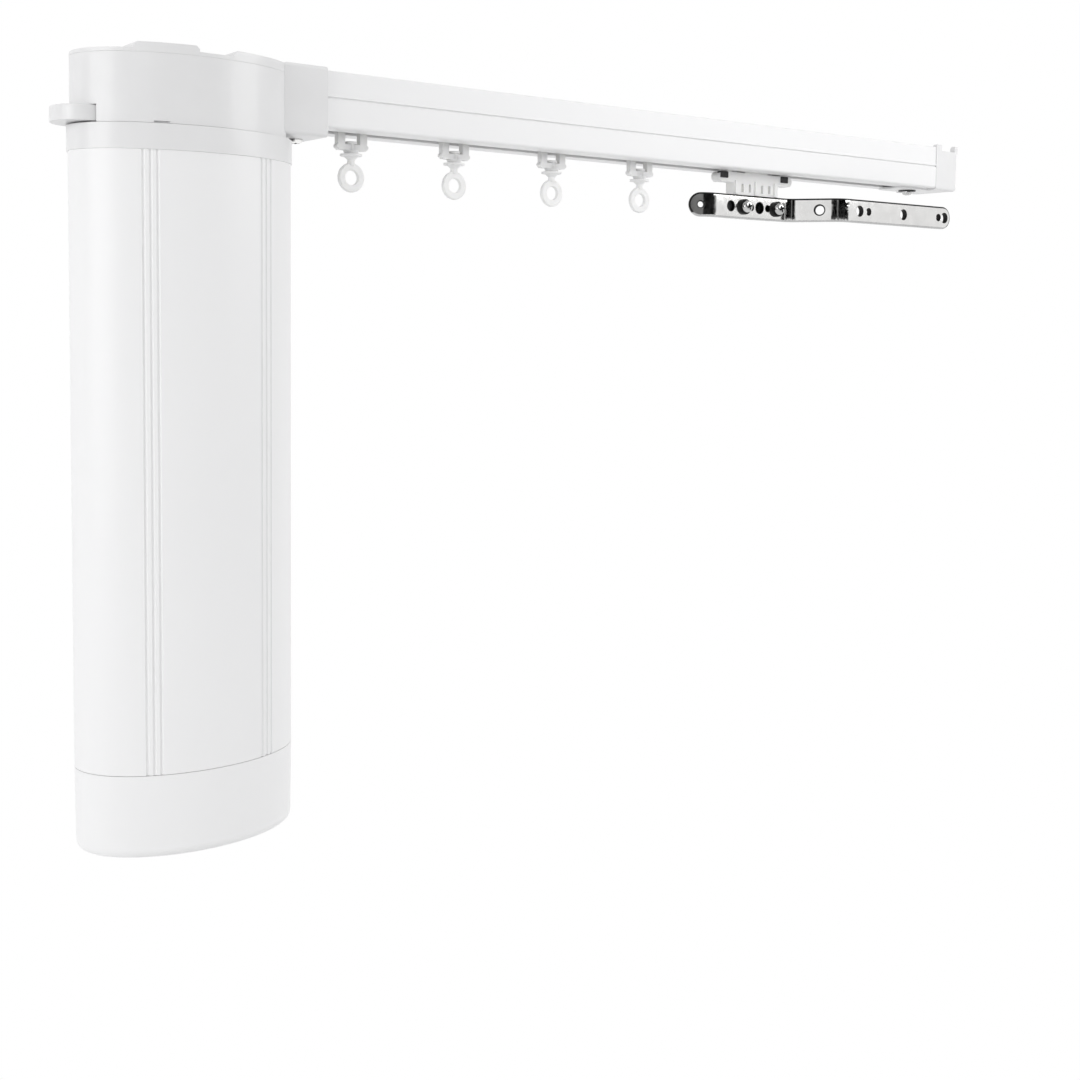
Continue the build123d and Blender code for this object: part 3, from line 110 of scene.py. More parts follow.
# Each hole: the number of its straight length, its distance from the corner before it, its radius and
# its rim, in mm
ARM_HOLES = (
    (0, 6.0, 1.5, 0.5),
    (1, 13.5, 2.6, 0.2),
    (1, 22.6, 1.7, 0.2),
    (1, 27.9, 1.7, 0.2),
    (1, 33.7, 2.9, 0.2),
    (1, 39.5, 1.7, 0.2),
    (1, 45.7, 1.7, 0.2),
    (2, 16.2, 2.3, 0.7),
    (3, 12.8, 2.7, 0.2),
    (3, 19.8, 1.85, 0.2),
    (3, 47.6, 2.7, 0.2),
    (3, 76.8, 1.85, 0.2),
    (3, 81.8, 2.7, 0.2),
)

# Black sheet behind the arm's holes, painted shade for the shadowed carrier seen through them: shares of
# the carrier's length and of the arm's height, and sizes
SHADE_SHEET_LENGTH = 0.9
SHADE_SHEET_HEIGHT = 0.72
SHADE_SHEET_FRONT = -3.0 * MM
SHADE_SHEET_THICKNESS = 0.5 * MM
SHADE_SHEET_EDGE = 0.15 * MM

# Cross-head screws: shares of the head's radius and height, and the form of its dome
SCREW_SIDES = 48
SCREW_RINGS = 32
SHANK_SIDES = 32
DOME_FULLNESS = 7.0
DOME_SHOULDER = 0.4
DOME_FOOT = -0.001   # the unit ball below this height becomes the head's flat base
CROSS_LENGTH = 1.15
CROSS_WIDTH = 0.3
CROSS_HEIGHT = 1.2
SHANK_END = 0.2 * MM   # the end of a CAD screw on which its shank is measured
SCREW_INPUTS = (
    ("Head Radius", "NodeSocketFloat"),
    ("Head Height", "NodeSocketFloat"),
    ("Washer Radius", "NodeSocketFloat"),
    ("Washer Height", "NodeSocketFloat"),
    ("Shank Radius", "NodeSocketFloat"),
    ("Shank Length", "NodeSocketFloat"),
    ("Axis", "NodeSocketVector"),
    ("Turn", "NodeSocketFloat"),
    ("Finish", "NodeSocketMaterial"),
    ("Dark Finish", "NodeSocketMaterial"),
)

# Fine textures: scales for coordinates in metres, and depths in metres
NOISE_RANGE = (0.3, 0.7)   # where most of a noise texture's values lie
GLOSS_SCALE = 3.0   # gloss varies this many times as finely as colour
PLASTIC_GRAIN_SCALE = 2600.0
PLASTIC_GRAIN_DEPTH = 0.00004
PLASTIC_IOR = 1.47
COAT_ROUGHNESS = 0.08
MILKY_DEPTH = (0.004, 0.004, 0.0035)
STAIN_SCALE = 140.0
STAIN_DETAIL = 4.0
METAL_GLOSS_SCALE = 420.0
METAL_GLOSS = (0.75, 1.3)   # smallest and largest share of the metal's roughness
BRUSH_SCALE = 900.0
BRUSH_DEPTH = 0.00002
FINE_DETAIL = 2.0
RUBBER_CLOUD_SCALE = 500.0
RUBBER_DUST = 2.2   # how many times lighter the dusty tone is
RUBBER_GLOSS_SCALE = 900.0
RUBBER_GLOSS = (0.55, 0.75)
RUBBER_GRAIN_SCALE = 1800.0
RUBBER_GRAIN = 0.25
RUBBER_GRAIN_DEPTH = 0.00005

# Camera, with its picture in pixels and its sensor in millimetres, and studio, in metres
IMAGE_SIDE = 1080.0
SENSOR_WIDTH = 36.0
CLIP_START = 0.01
CLIP_END = 50.0
WHITE = (1.0, 1.0, 1.0, 1.0)
PAPER = (0.82, 0.82, 0.82, 1.0)
PAPER_ROUGHNESS = 0.9
FLOOR_NEAR = -6.0
FLOOR_HALF_WIDTH = 8.0
FLOOR_BEND = 2.5
FLOOR_BEND_RADIUS = 1.5
FLOOR_BEND_STEPS = 12
WALL_TOP = 7.0
# Dark flags that polished metal mirrors: compass heading and half width of each, in degrees
STUDIO_FLAGS = ((174.5, 32.0), (221.5, 14.0), (285.0, 28.0))
FLAG_EDGE = 6.0
FLAG_RISE = 0.05   # how far a flag's middle stands above the horizon
FLAG_FOOT = (0.005, 0.03)   # heights of a ray between which the flags begin, just above the horizon
# Lamps: name, place, target, size and power in watts
LAMPS = (
    ("side", (-1.64, -0.3, 0.15), (-0.24, 0.0, -0.15), (0.9, 0.9), 7.0),
    ("front", (0.6, -0.65, 0.3), (0.2, 0.0, -0.02), (0.5, 0.5), 2.9),
    ("top", (0.0, 0.1, 1.5), (-0.05, 0.0, -0.1), (1.4, 1.0), 0.4),
)


# Sizes and colours that a user would change
def length(name, default, description):
    return FloatProperty(name=name, default=default, min=0.0, unit="LENGTH", precision=5,
                         description=description)


def colour(name, default, description):
    return FloatVectorProperty(name=name, default=default, size=4, min=0.0, max=1.0, subtype="COLOR",
                               description=description)


def angle(name, degrees, description):
    return FloatProperty(name=name, default=math.radians(degrees), subtype="ANGLE",
                         description=description)


class TRACK_PG_finish(bpy.types.PropertyGroup):
    """Colours of the finishes."""
    plastic: colour("Head Plastic", (0.79, 0.79, 0.795, 1.0), "Moulded head, adaptor, collar and end cap")
    body: colour("Body", (0.88, 0.88, 0.885, 1.0), "Motor body and its bottom cap")
    paint: colour("Track Paint", (0.88, 0.88, 0.885, 1.0), "White paint of the rail")
    milky: colour("Glider Plastic", (0.88, 0.88, 0.875, 1.0), "Gliders, rings and carrier")
    steel: colour("Plated Steel", (0.90, 0.895, 0.885, 1.0), "Curtain arm and the adaptor's screw")
    rubber: colour("Rubber", (0.012, 0.012, 0.013, 1.0), "Bumpers and the pad in the arm's holes")


class TRACK_PG_edges(bpy.types.PropertyGroup):
    """Edge radii of the moulded, extruded and bent pieces."""
    moulded: length("Moulded Edge", 0.0006, "Edge radius of the head, the adaptor and the end cap")
    small: length("Small Edge", 0.00028, "Edge radius of the gliders and the carrier")
    sheet: length("Sheet Edge", 0.0009, "Rounded edge on the front of the steel arm")
    rail: length("Rail Edge", 0.00025, "Edge radius of the extruded rail")


class TRACK_PG_stage(bpy.types.PropertyGroup):
    """Camera and studio."""
    lens: FloatProperty(name="Lens", default=49.25, min=1.0, unit="CAMERA",
                        description="Focal length in millimetres")
    principal_y: FloatProperty(name="Image Centre Height", default=430.0,
                               description="Row of the optical axis in a picture of 1080 rows")
    camera_place: FloatVectorProperty(name="Camera Place", default=(-0.47407, -0.54574, -0.09946),
                                      subtype="XYZ", unit="LENGTH", description="Where the camera stands")
    yaw: angle("Yaw", 37.0033, "Turn to the right")
    pitch: angle("Pitch", 4.2017, "Tilt down")
    roll: angle("Roll", 0.6869, "Roll of the picture")
    floor_gap: length("Floor Below", 0.12, "Drop from the motor's lower end to the floor")
    room_light: FloatProperty(name="Room Light", default=0.93, min=0.0,
                              description="Strength of the even light")


# Mesh helpers
def mesh_object(name, bm):
    """A finished mesh object at the origin, smooth except at sharp edges."""
    bmesh.ops.recalc_face_normals(bm, faces=bm.faces)
    mesh = bpy.data.meshes.new(name)
    bm.to_mesh(mesh)
    bm.free()
    for polygon in mesh.polygons:
        polygon.use_smooth = True
    mesh.set_sharp_from_angle(angle=math.radians(SMOOTH_ANGLE))
    made = bpy.data.objects.new(name, mesh)
    bpy.context.scene.collection.objects.link(made)
    return made


def settled(made):
    """Turns an object's modifiers into its mesh and takes them away."""
    graph = bpy.context.evaluated_depsgraph_get()
    mesh = bpy.data.meshes.new_from_object(made.evaluated_get(graph), depsgraph=graph)
    made.modifiers.clear()
    made.data = mesh
    return made


def flat_faced(made):
    """Keeps the large faces flat to the light, beside their narrow rounded edges."""
    modifier = made.modifiers.new("Even Faces", "WEIGHTED_NORMAL")
    modifier.mode = "FACE_AREA"
    modifier.keep_sharp = True
    return settled(made)


def merged_copy(node):
    """A copy of a CAD node's mesh, with its loose triangles merged."""
    bm = bmesh.new()
    bm.from_mesh(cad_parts[node].data)
    bmesh.ops.remove_doubles(bm, verts=bm.verts, dist=MERGE_DISTANCE)
    return bm


def soften(bm, radius):
    """Rounds the sharp edges of a closed mesh."""
    edges = [edge for edge in bm.edges
             if len(edge.link_faces) == 2 and edge.calc_face_angle(0.0) > math.radians(SHARP_ANGLE)]
    bmesh.ops.bevel(bm, geom=edges, offset=radius, offset_type="OFFSET", segments=EDGE_SEGMENTS,
                    profile=0.5, affect="EDGES", clamp_overlap=True)
    bmesh.ops.remove_doubles(bm, verts=bm.verts, dist=ROUNDED_MERGE_DISTANCE)


def softened_node(node, name, radius, body, finish):
    """The piece that stands for a CAD node: the same form with rounded edges."""
    bm = merged_copy(node)
    bmesh.ops.dissolve_limit(bm, angle_limit=math.radians(FLAT_ANGLE), verts=bm.verts, edges=bm.edges)
    soften(bm, radius)
    made = flat_faced(mesh_object(name, bm))
    made.data.materials.append(finish)
    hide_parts(node)
    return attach(made, body)


def score(bm, place, across):
    """Adds edges where a plane crosses the mesh."""
    bmesh.ops.bisect_plane(bm, geom=[*bm.verts, *bm.edges, *bm.faces], dist=SCORE_DISTANCE,
                           plane_co=place, plane_no=across)


def dress(nodes, finish):
    """Gives CAD nodes a better material."""
    for node in nodes:
        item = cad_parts[node]
        item.data.materials.clear()
        item.data.materials.append(finish)


# A strap that is stamped flat and folded
Span = namedtuple("Span", "start corner place heading length turn")


def pointing(heading):
    """The direction in plan of a heading."""
    return Vector((math.cos(heading), math.sin(heading)))


def folded_line(corners, radii):
    """The straight and bent spans of a line in plan; each knows where it and its corner lie along it."""
    headings = [math.atan2(after[1] - before[1], after[0] - before[0])
                for before, after in zip(corners, corners[1:])]
    spans = []
    start, trimmed = 0.0, 0.0
    for index, heading in enumerate(headings):
        forward = pointing(heading)
        turn = headings[index + 1] - heading if index + 1 < len(headings) else 0.0
        radius = radii[index] if turn else 0.0
        trim = radius * math.tan(abs(turn) / 2.0)
        straight = math.dist(corners[index], corners[index + 1]) - trimmed - trim
        place = Vector(corners[index]) + forward * trimmed
        spans.append(Span(start, start - trimmed, place, heading, straight, 0.0))
        start += straight
        if turn:
            bend = radius * abs(turn)
            spans.append(Span(start, start, place + forward * straight, heading, bend, turn))
            start += bend
        trimmed = trim
    return spans


def on_folded_line(spans, distance, offset):
    """The place in plan at a distance along a folded line and an offset to its left."""
    span = [item for item in spans if item.start <= distance or item is spans[0]][-1]
    forward, side = distance - span.start, offset
    if span.turn:
        way = math.copysign(1.0, span.turn)
        radius = span.length / abs(span.turn)
        bent = forward / radius
        forward = (radius - way * offset) * math.sin(bent)
        side = way * (radius - (radius - way * offset) * math.cos(bent))
    ahead = pointing(span.heading)
    left = Vector((-ahead.y, ahead.x))
    return span.place + ahead * forward + left * side


def rim_profile(front_round):
    """Inset and depth of each ring round a stamped edge, from the arm's front face to its back face."""
    front, back = ARM_FACES
    quarter = [math.radians(90.0) * step / RIM_STEPS for step in range(RIM_STEPS + 1)]
    rings = [(front_round * (1.0 - math.sin(turn)), front + front_round * (1.0 - math.cos(turn)))
             for turn in quarter]
    rings += [(ARM_BACK_EDGE * (1.0 - math.sin(turn)), back - ARM_BACK_EDGE * (1.0 - math.cos(turn)))
              for turn in reversed(quarter)]
    return rings


def round_ring(bm, centre, radius, depth, height):
    """A ring of corners round a hole."""
    turns = [2.0 * math.pi * step / HOLE_SIDES for step in range(HOLE_SIDES)]
    return [bm.verts.new((centre + radius * math.cos(turn), depth, height + radius * math.sin(turn)))
            for turn in turns]


def long_ring(bm, total, half, radius, depth, height):
    """A ring of corners round a strip of a length, with half-round ends."""
    turns = [math.pi * (step / ROUND_END_STEPS - 0.5) for step in range(ROUND_END_STEPS + 1)]
    far = [bm.verts.new((total - half + radius * math.cos(turn), depth, height + radius * math.sin(turn)))
           for turn in turns]
    near = [bm.verts.new((half - radius * math.cos(turn), depth, height - radius * math.sin(turn)))
            for turn in turns]
    return far + near


# Node trees
def add_node(tree, kind, links=(), **settings):
    """A new node with its settings and its inputs, each a socket to link or a plain value."""
    made = tree.nodes.new(kind)
    for setting, value in settings.items():
        setattr(made, setting, value)
    for key, value in dict(links).items():
        if isinstance(value, bpy.types.NodeSocket):
            tree.links.new(value, made.inputs[key])
        else:
            made.inputs[key].default_value = value
    return made


def maths(tree, operation, first, second):
    """The result of a sum, product, power or comparison of two values."""
    return add_node(tree, "ShaderNodeMath", {0: first, 1: second}, operation=operation).outputs[0]


class PieceTree:
    """A Geometry Nodes tree under construction, with named inputs for its sizes and finishes."""

    def __init__(self, name, inputs):
        self.tree = bpy.data.node_groups.new(name, "GeometryNodeTree")
        face = self.tree.interface
        self.identifiers = {}
        face.new_socket(name="Geometry", in_out="INPUT", socket_type="NodeSocketGeometry")
        for label, kind in inputs:
            socket = face.new_socket(name=label, in_out="INPUT", socket_type=kind)
            self.identifiers[label] = socket.identifier
        face.new_socket(name="Geometry", in_out="OUTPUT", socket_type="NodeSocketGeometry")
        self.start = self.tree.nodes.new("NodeGroupInput")
        self.end = self.tree.nodes.new("NodeGroupOutput")

    def given(self, label):
        """The socket of a named input."""
        return self.start.outputs[label]

    def node(self, kind, links=(), **settings):
        """The first output of a new node."""
        return add_node(self.tree, kind, links, **settings).outputs[0]

    def maths(self, operation, first, second):
        return maths(self.tree, operation, first, second)

    def raised(self, geometry, height):
        """The geometry moved up by a height."""
        lift = self.node("ShaderNodeCombineXYZ", {2: height})
        return self.node("GeometryNodeTransform", {"Geometry": geometry, "Translation": lift})

    def darkened(self, geometry):
        """The geometry with its faces marked for the dark finish."""
        return self.node("GeometryNodeStoreNamedAttribute", {
            "Geometry": geometry, "Name": "dark", "Value": True}, data_type="BOOLEAN", domain="FACE")

    def joined(self, *parts):
        made = self.tree.nodes.new("GeometryNodeJoinGeometry")
        for part in parts:
            self.tree.links.new(part, made.inputs["Geometry"])
        return made.outputs["Geometry"]

    def finish(self, geometry):
        """Ends the tree in Realize Instances and Set Material, the dark finish on the marked faces."""
        real = self.node("GeometryNodeRealizeInstances", {"Geometry": geometry})
        painted = self.node("GeometryNodeSetMaterial", {
            "Geometry": real, "Material": self.given("Finish")})
        dark = self.node("GeometryNodeInputNamedAttribute", {"Name": "dark"}, data_type="BOOLEAN")
        shaded = self.node("GeometryNodeSetMaterial", {
            "Geometry": painted, "Selection": dark, "Material": self.given("Dark Finish")})
        self.tree.links.new(shaded, self.end.inputs[0])
        return self

    def apply(self, made, values):
        """Runs the tree on an object with these values and keeps the plain mesh."""
        modifier = made.modifiers.new(self.tree.name, "NODES")
        modifier.node_group = self.tree
        for label, value in values.items():
            modifier[self.identifiers[label]] = value
        return settled(made)


def domed_head(tree, radius, height):
    """A flat-based screw head, bent from a unit ball: nearly level on top, with a round shoulder."""
    ball = tree.node("GeometryNodeMeshUVSphere", {
        "Segments": SCREW_SIDES, "Rings": SCREW_RINGS, "Radius": 1.0})
    place = add_node(tree.tree, "ShaderNodeSeparateXYZ", {0: tree.node("GeometryNodeInputPosition")})
    x, y, z = place.outputs
    level = tree.node("ShaderNodeCombineXYZ", {0: x, 1: y})
    out = add_node(tree.tree, "ShaderNodeVectorMath", {0: level}, operation="LENGTH").outputs["Value"]
    fullness = tree.maths("POWER", tree.maths("MINIMUM", out, 1.0), DOME_FULLNESS)
    dome = tree.maths("POWER", tree.maths("SUBTRACT", 1.0, fullness), DOME_SHOULDER)
    rise = tree.maths("MULTIPLY", dome, tree.maths("GREATER_THAN", z, DOME_FOOT))
    shaped = tree.node("ShaderNodeCombineXYZ", {
        0: tree.maths("MULTIPLY", x, radius),
        1: tree.maths("MULTIPLY", y, radius),
        2: tree.maths("MULTIPLY", rise, height)})
    return tree.node("GeometryNodeSetPosition", {"Geometry": ball, "Position": shaped})


def crossed_head(tree, radius, height):
    """A domed head with a cross cut into it."""
    long_side = tree.maths("MULTIPLY", radius, CROSS_LENGTH)
    short_side = tree.maths("MULTIPLY", radius, CROSS_WIDTH)
    deep = tree.maths("MULTIPLY", height, CROSS_HEIGHT)
    cut = add_node(tree.tree, "GeometryNodeMeshBoolean", {"Mesh 1": domed_head(tree, radius, height)},
                   operation="DIFFERENCE", solver="EXACT")
    for sides in ((long_side, short_side), (short_side, long_side)):
        size = tree.node("ShaderNodeCombineXYZ", {0: sides[0], 1: sides[1], 2: deep})
        bar = tree.raised(tree.node("GeometryNodeMeshCube", {"Size": size}), height)
        # The cross recess takes the dark finish: painted shade in the recess.
        tree.tree.links.new(tree.darkened(bar), cut.inputs["Mesh 2"])
    return cut.outputs["Mesh"]


def screw_tree():
    """Domed screw heads with a cross recess, a washer and a shank, one on each point."""
    tree = PieceTree("cross_head_screws", SCREW_INPUTS)
    thickness, drop = tree.given("Washer Height"), tree.given("Shank Length")
    head = crossed_head(tree, tree.given("Head Radius"), tree.given("Head Height"))
    washer = tree.node("GeometryNodeMeshCylinder", {
        "Vertices": SCREW_SIDES, "Radius": tree.given("Washer Radius"), "Depth": thickness})
    washer = tree.raised(washer, tree.maths("MULTIPLY", thickness, 0.5))
    shank = tree.node("GeometryNodeMeshCylinder", {
        "Vertices": SHANK_SIDES, "Radius": tree.given("Shank Radius"), "Depth": drop})
    shank = tree.raised(shank, tree.maths("MULTIPLY", drop, -0.5))
    whole = tree.joined(tree.raised(head, thickness), tree.darkened(washer), shank)
    aimed = tree.node("FunctionNodeAlignRotationToVector", {"Vector": tree.given("Axis")}, axis="Z")
    placed = tree.node("GeometryNodeInstanceOnPoints", {
        "Points": tree.given("Geometry"), "Instance": whole, "Rotation": aimed})
    spun = tree.node("ShaderNodeCombineXYZ", {2: tree.given("Turn")})
    return tree.finish(tree.node("GeometryNodeRotateInstances", {"Instances": placed, "Rotation": spun}))


def islands(node):
    """The separate solids of a CAD node, each as a list of its corners."""
    bm = merged_copy(node)
    found, reached = [], set()
    for first in bm.verts:
        if first in reached:
            continue
        reached.add(first)
        corners, waiting = [], [first]
        while waiting:
            corner = waiting.pop()
            corners.append(corner.co.copy())
            for near in (edge.other_vert(corner) for edge in corner.link_edges):
                if near not in reached:
                    reached.add(near)
                    waiting.append(near)
        found.append(corners)
    bm.free()
    return found


def screw_sizes(corners, out):
    """Where a screw sits and its sizes, from its corners and the way that its head faces."""
    along = [corner.dot(out) for corner in corners]
    low, high = min(along), max(along)
    middle = sum(corners, Vector()) / len(corners)
    middle -= out * middle.dot(out)
    reach = [(corner - out * corner.dot(out) - middle).length for corner in corners]
    rim = max(reach)
    shank = max(far for far, level in zip(reach, along) if level < low + SHANK_END)
    seat = min(level for far, level in zip(reach, along) if far > (rim + shank) / 2.0)
    head = max(far for far, level in zip(reach, along) if level > (seat + high) / 2.0)
    return {"place": middle + out * seat, "rim": rim, "head": head, "height": high - seat, "shank": shank,
            "length": seat - low}


def crossed_screws(node, name, out, body, finish, turn=0.35, washer=0.0,
                   washer_height=0.1 * MM, rise=1.0, width=1.0):
    """Cross-head screws in place of a CAD node's plain ones, one for each of its solids."""
    out = Vector(out)
    found = [screw_sizes(corners, out) for corners in islands(node)]
    points = bpy.data.meshes.new(name)
    points.from_pydata([size["place"] for size in found], [], [])
    made = bpy.data.objects.new(name, points)
    bpy.context.scene.collection.objects.link(made)
    first = found[0]
    made = screw_tree().apply(made, {
        "Head Radius": width * first["head"],
        "Head Height": rise * first["height"] - washer_height,
        "Washer Radius": washer or first["rim"],
        "Washer Height": washer_height,
        "Shank Radius": first["shank"],
        "Shank Length": first["length"],
        "Axis": tuple(out),
        "Turn": turn,
        "Finish": finish,
        # dark steel: painted shade in the cross recess, and the washer's dark colour
        "Dark Finish": FINISHES["cut"],
    })
    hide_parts(node)
    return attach(made, body)


# Materials
def new_finish(name):
    """A material, its node tree and its main shader."""
    finish = bpy.data.materials.new(name)
    finish.use_nodes = True
    tree = finish.node_tree
    tree.nodes.clear()
    shader = add_node(tree, "ShaderNodeBsdfPrincipled")
    add_node(tree, "ShaderNodeOutputMaterial", {"Surface": shader.outputs["BSDF"]})
    return finish, tree, shader


def noise(tree, scale, detail=3.0, stretch=None):
    """A noise texture on the piece's own coordinates; stretch lengthens it along an axis."""
    place = add_node(tree, "ShaderNodeTexCoord").outputs["Object"]
    if stretch:
        place = add_node(tree, "ShaderNodeMapping", {"Scale": stretch, "Vector": place}).outputs["Vector"]
    texture = add_node(tree, "ShaderNodeTexNoise", {"Vector": place, "Scale": scale, "Detail": detail})
    return texture.outputs["Fac"]


def spread(tree, value, low, high):
    """Maps a noise texture's usual values onto a range."""
    return add_node(tree, "ShaderNodeMapRange", {
        "Value": value, "From Min": NOISE_RANGE[0], "From Max": NOISE_RANGE[1],
        "To Min": low, "To Max": high}).outputs["Result"]


def toned(tone, factor):
    return tuple(min(1.0, channel * factor) for channel in tone[:3]) + (1.0,)


def tint(tree, shader, value, first, second):
    """Varies the colour between two tones."""
    mix = add_node(tree, "ShaderNodeMix", {"Factor": value, "A": first, "B": second}, data_type="RGBA")
    tree.links.new(mix.outputs["Result"], shader.inputs["Base Color"])


def cloud(tree, shader, texture, tone, variation):
    """Varies the colour a little to both sides of a tone."""
    tint(tree, shader, spread(tree, texture, 0.0, 1.0), toned(tone, 1.0 - variation),
         toned(tone, 1.0 + variation))


def gloss(tree, shader, scale, low, high):
    """Varies the roughness between two values."""
    tree.links.new(spread(tree, noise(tree, scale), low, high), shader.inputs["Roughness"])


def bump(tree, shader, value, strength, distance):
    """Raises the surface a little by a texture."""
    node = add_node(tree, "ShaderNodeBump", {"Strength": strength, "Distance": distance, "Height": value})
    tree.links.new(node.outputs["Normal"], shader.inputs["Normal"])


def plastic(name, tone, roughness, variation=0.015, grain=0.0, coat=0.0, subsurface=0.0, scale=60.0,
            uneven=0.08):
    """Moulded or painted plastic: faint cloudiness, slightly uneven gloss and an optional fine grain."""
    finish, tree, shader = new_finish(name)
    cloud(tree, shader, noise(tree, scale), tone, variation)
    gloss(tree, shader, scale * GLOSS_SCALE, roughness * (1.0 - uneven), roughness * (1.0 + uneven))
    if grain:
        bump(tree, shader, noise(tree, PLASTIC_GRAIN_SCALE, FINE_DETAIL), grain, PLASTIC_GRAIN_DEPTH)
    shader.inputs["IOR"].default_value = PLASTIC_IOR
    if coat:
        shader.inputs["Coat Weight"].default_value = coat
        shader.inputs["Coat Roughness"].default_value = COAT_ROUGHNESS
    if subsurface:
        shader.inputs["Subsurface Weight"].default_value = subsurface
        shader.inputs["Subsurface Radius"].default_value = MILKY_DEPTH
        shader.inputs["Subsurface Scale"].default_value = 1.0
    return finish


def metal(name, tone, roughness, brush=None, brush_strength=0.05, variation=0.05):
    """Bare or plated metal with a little staining and, where it is brushed, fine drawn lines."""
    finish, tree, shader = new_finish(name)
    cloud(tree, shader, noise(tree, STAIN_SCALE, STAIN_DETAIL), tone, variation)
    gloss(tree, shader, METAL_GLOSS_SCALE, roughness * METAL_GLOSS[0], roughness * METAL_GLOSS[1])
    shader.inputs["Metallic"].default_value = 1.0
    if brush:
        lines = noise(tree, BRUSH_SCALE, FINE_DETAIL, stretch=brush)
        bump(tree, shader, lines, brush_strength, BRUSH_DEPTH)
    return finish


def rubber(name, tone):
    """Black rubber with a little dust and a fine grain."""
    finish, tree, shader = new_finish(name)
    tint(tree, shader, noise(tree, RUBBER_CLOUD_SCALE), tone, toned(tone, RUBBER_DUST))
    gloss(tree, shader, RUBBER_GLOSS_SCALE, *RUBBER_GLOSS)
    bump(tree, shader, noise(tree, RUBBER_GRAIN_SCALE), RUBBER_GRAIN, RUBBER_GRAIN_DEPTH)
    return finish


FINISHES = {}   # the object's materials by their short names, once the first operator has run


def make_plastics(tones):
    """The plastics, paint and rubber."""
    FINISHES["head"] = plastic("head_plastic", tones.plastic, roughness=0.34, grain=0.05, coat=0.15)
    FINISHES["body"] = plastic("body_extrusion", tones.body, roughness=0.36, variation=0.002, scale=12.0,
                               uneven=0.01)
    FINISHES["paint"] = plastic("rail_paint", tones.paint, roughness=0.36, variation=0.002, scale=18.0,
                                uneven=0.01)
    FINISHES["milky"] = plastic("milky_acetal", tones.milky, roughness=0.38, subsurface=0.25, grain=0.05)
    FINISHES["inner"] = plastic("inner_moulding", (0.66, 0.66, 0.64, 1.0), roughness=0.5, grain=0.12)
    FINISHES["natural"] = plastic("natural_acetal", (0.74, 0.72, 0.64, 1.0), roughness=0.36,
                                  variation=0.02)
    FINISHES["black"] = plastic("black_moulding", (0.02, 0.02, 0.022, 1.0), roughness=0.42, variation=0.1,
                                grain=0.1)
    FINISHES["board"] = plastic("circuit_board", (0.02, 0.14, 0.06, 1.0), roughness=0.35, variation=0.08,
                                coat=0.3, scale=300.0)
    FINISHES["wrap"] = plastic("cell_wrap", (0.05, 0.11, 0.10, 1.0), roughness=0.22, variation=0.05,
                               coat=0.4)
    FINISHES["rubber"] = rubber("bumper_rubber", tones.rubber)
    FINISHES["belt"] = rubber("belt_rubber", (0.016, 0.016, 0.018, 1.0))


def make_metals(tones):
    """The plated and bare metals."""
    FINISHES["plated"] = metal("plated_steel", tones.steel, roughness=0.085, brush=(0.04, 1.0, 1.0),
                               brush_strength=0.004)
    FINISHES["screw"] = metal("screw_steel", (0.55, 0.55, 0.55, 1.0), roughness=0.08, variation=0.1)
    # Near-black steel: painted shade in the arm's holes, along its front edges and in the screws' cross
    # recesses; it also colours the screws' washers dark.
    FINISHES["cut"] = metal("dark_steel_and_painted_shade", (0.03, 0.03, 0.03, 1.0), roughness=0.5, variation=0.2)
    FINISHES["steel"] = metal("plain_steel", (0.50, 0.50, 0.50, 1.0), roughness=0.28,
                              brush=(1.0, 1.0, 0.05))
    FINISHES["can"] = metal("zinc_can", (0.46, 0.46, 0.47, 1.0), roughness=0.33, brush=(1.0, 1.0, 0.03))
    FINISHES["copper"] = metal("copper_windings", (0.60, 0.27, 0.12, 1.0), roughness=0.35,
                               brush=(1.0, 1.0, 12.0), brush_strength=0.5, variation=0.15)
    FINISHES["contact"] = metal("contact_strip", (0.70, 0.52, 0.24, 1.0), roughness=0.25)


# Operators: one for each group of like pieces
class TrackOperator:
    bl_options = {"REGISTER", "UNDO"}

    def edges(self, context):
        return context.scene.track_edges


class TRACK_OT_finishes(TrackOperator, bpy.types.Operator):
    """Make the materials and give them to the hidden working parts"""
    bl_idname = "track.finishes"
    bl_label = "Finishes"

    def execute(self, context):
        make_plastics(context.scene.track_finish)
        make_metals(context.scene.track_finish)
        planets = [f"planet_gear_{number}" for number in PLANETS]
        rollers = [f"glider_{number}_{end}_rollers" for number in GLIDERS for end in ("front", "rear")]
        plan = {
            "belt": ["drive_belt"],
            "natural": ["drive_pulley", "idler_pulley", "carrier_front_rollers", "carrier_rear_rollers",
                        *planets, *rollers],
            "steel": ["idler_pin", "clamp_nuts", "head_screws", "shaft_bearing", "tab_spring",
                      "gearbox_screws", "drive_shaft", "output_coupling", "planet_carrier"],
            "can": ["motor_can"],
            "copper": ["motor_rotor"],
            "inner": ["ring_gear", "lower_bulkhead", "battery_tray", "belt_clamp"],
            "board": ["circuit_board"],
            "black": ["board_parts"],
            "contact": ["bulkhead_contacts", "battery_contacts"],
            "wrap": ["battery_cells"],
        }
        for key, nodes in plan.items():
            dress(nodes, FINISHES[key])
        return {"FINISHED"}


class TRACK_OT_rail(TrackOperator, bpy.types.Operator):
    """Round the extruded rail's edges and paint it white"""
    bl_idname = "track.rail"
    bl_label = "Rail"

    def execute(self, context):
        softened_node("track_profile", "rail", self.edges(context).rail, ROOT,
                      FINISHES["paint"])
        return {"FINISHED"}


class TRACK_OT_head(TrackOperator, bpy.types.Operator):
    """Make the drive head's housing, lid, adaptor, collar and release tab"""
    bl_idname = "track.head"
    bl_label = "Drive Head"

    def execute(self, context):
        radius = self.edges(context).moulded
        for node, name, body, share in HEAD_PIECES:
            softened_node(node, name, radius * share, body, FINISHES["head"])
        return {"FINISHED"}


class TRACK_OT_body(TrackOperator, bpy.types.Operator):
    """Finish the oval motor body and its bottom cap"""
    bl_idname = "track.body"
    bl_label = "Motor Body"

    def execute(self, context):
        dress(["body_shell", "bottom_cap"], FINISHES["body"])
        return {"FINISHED"}


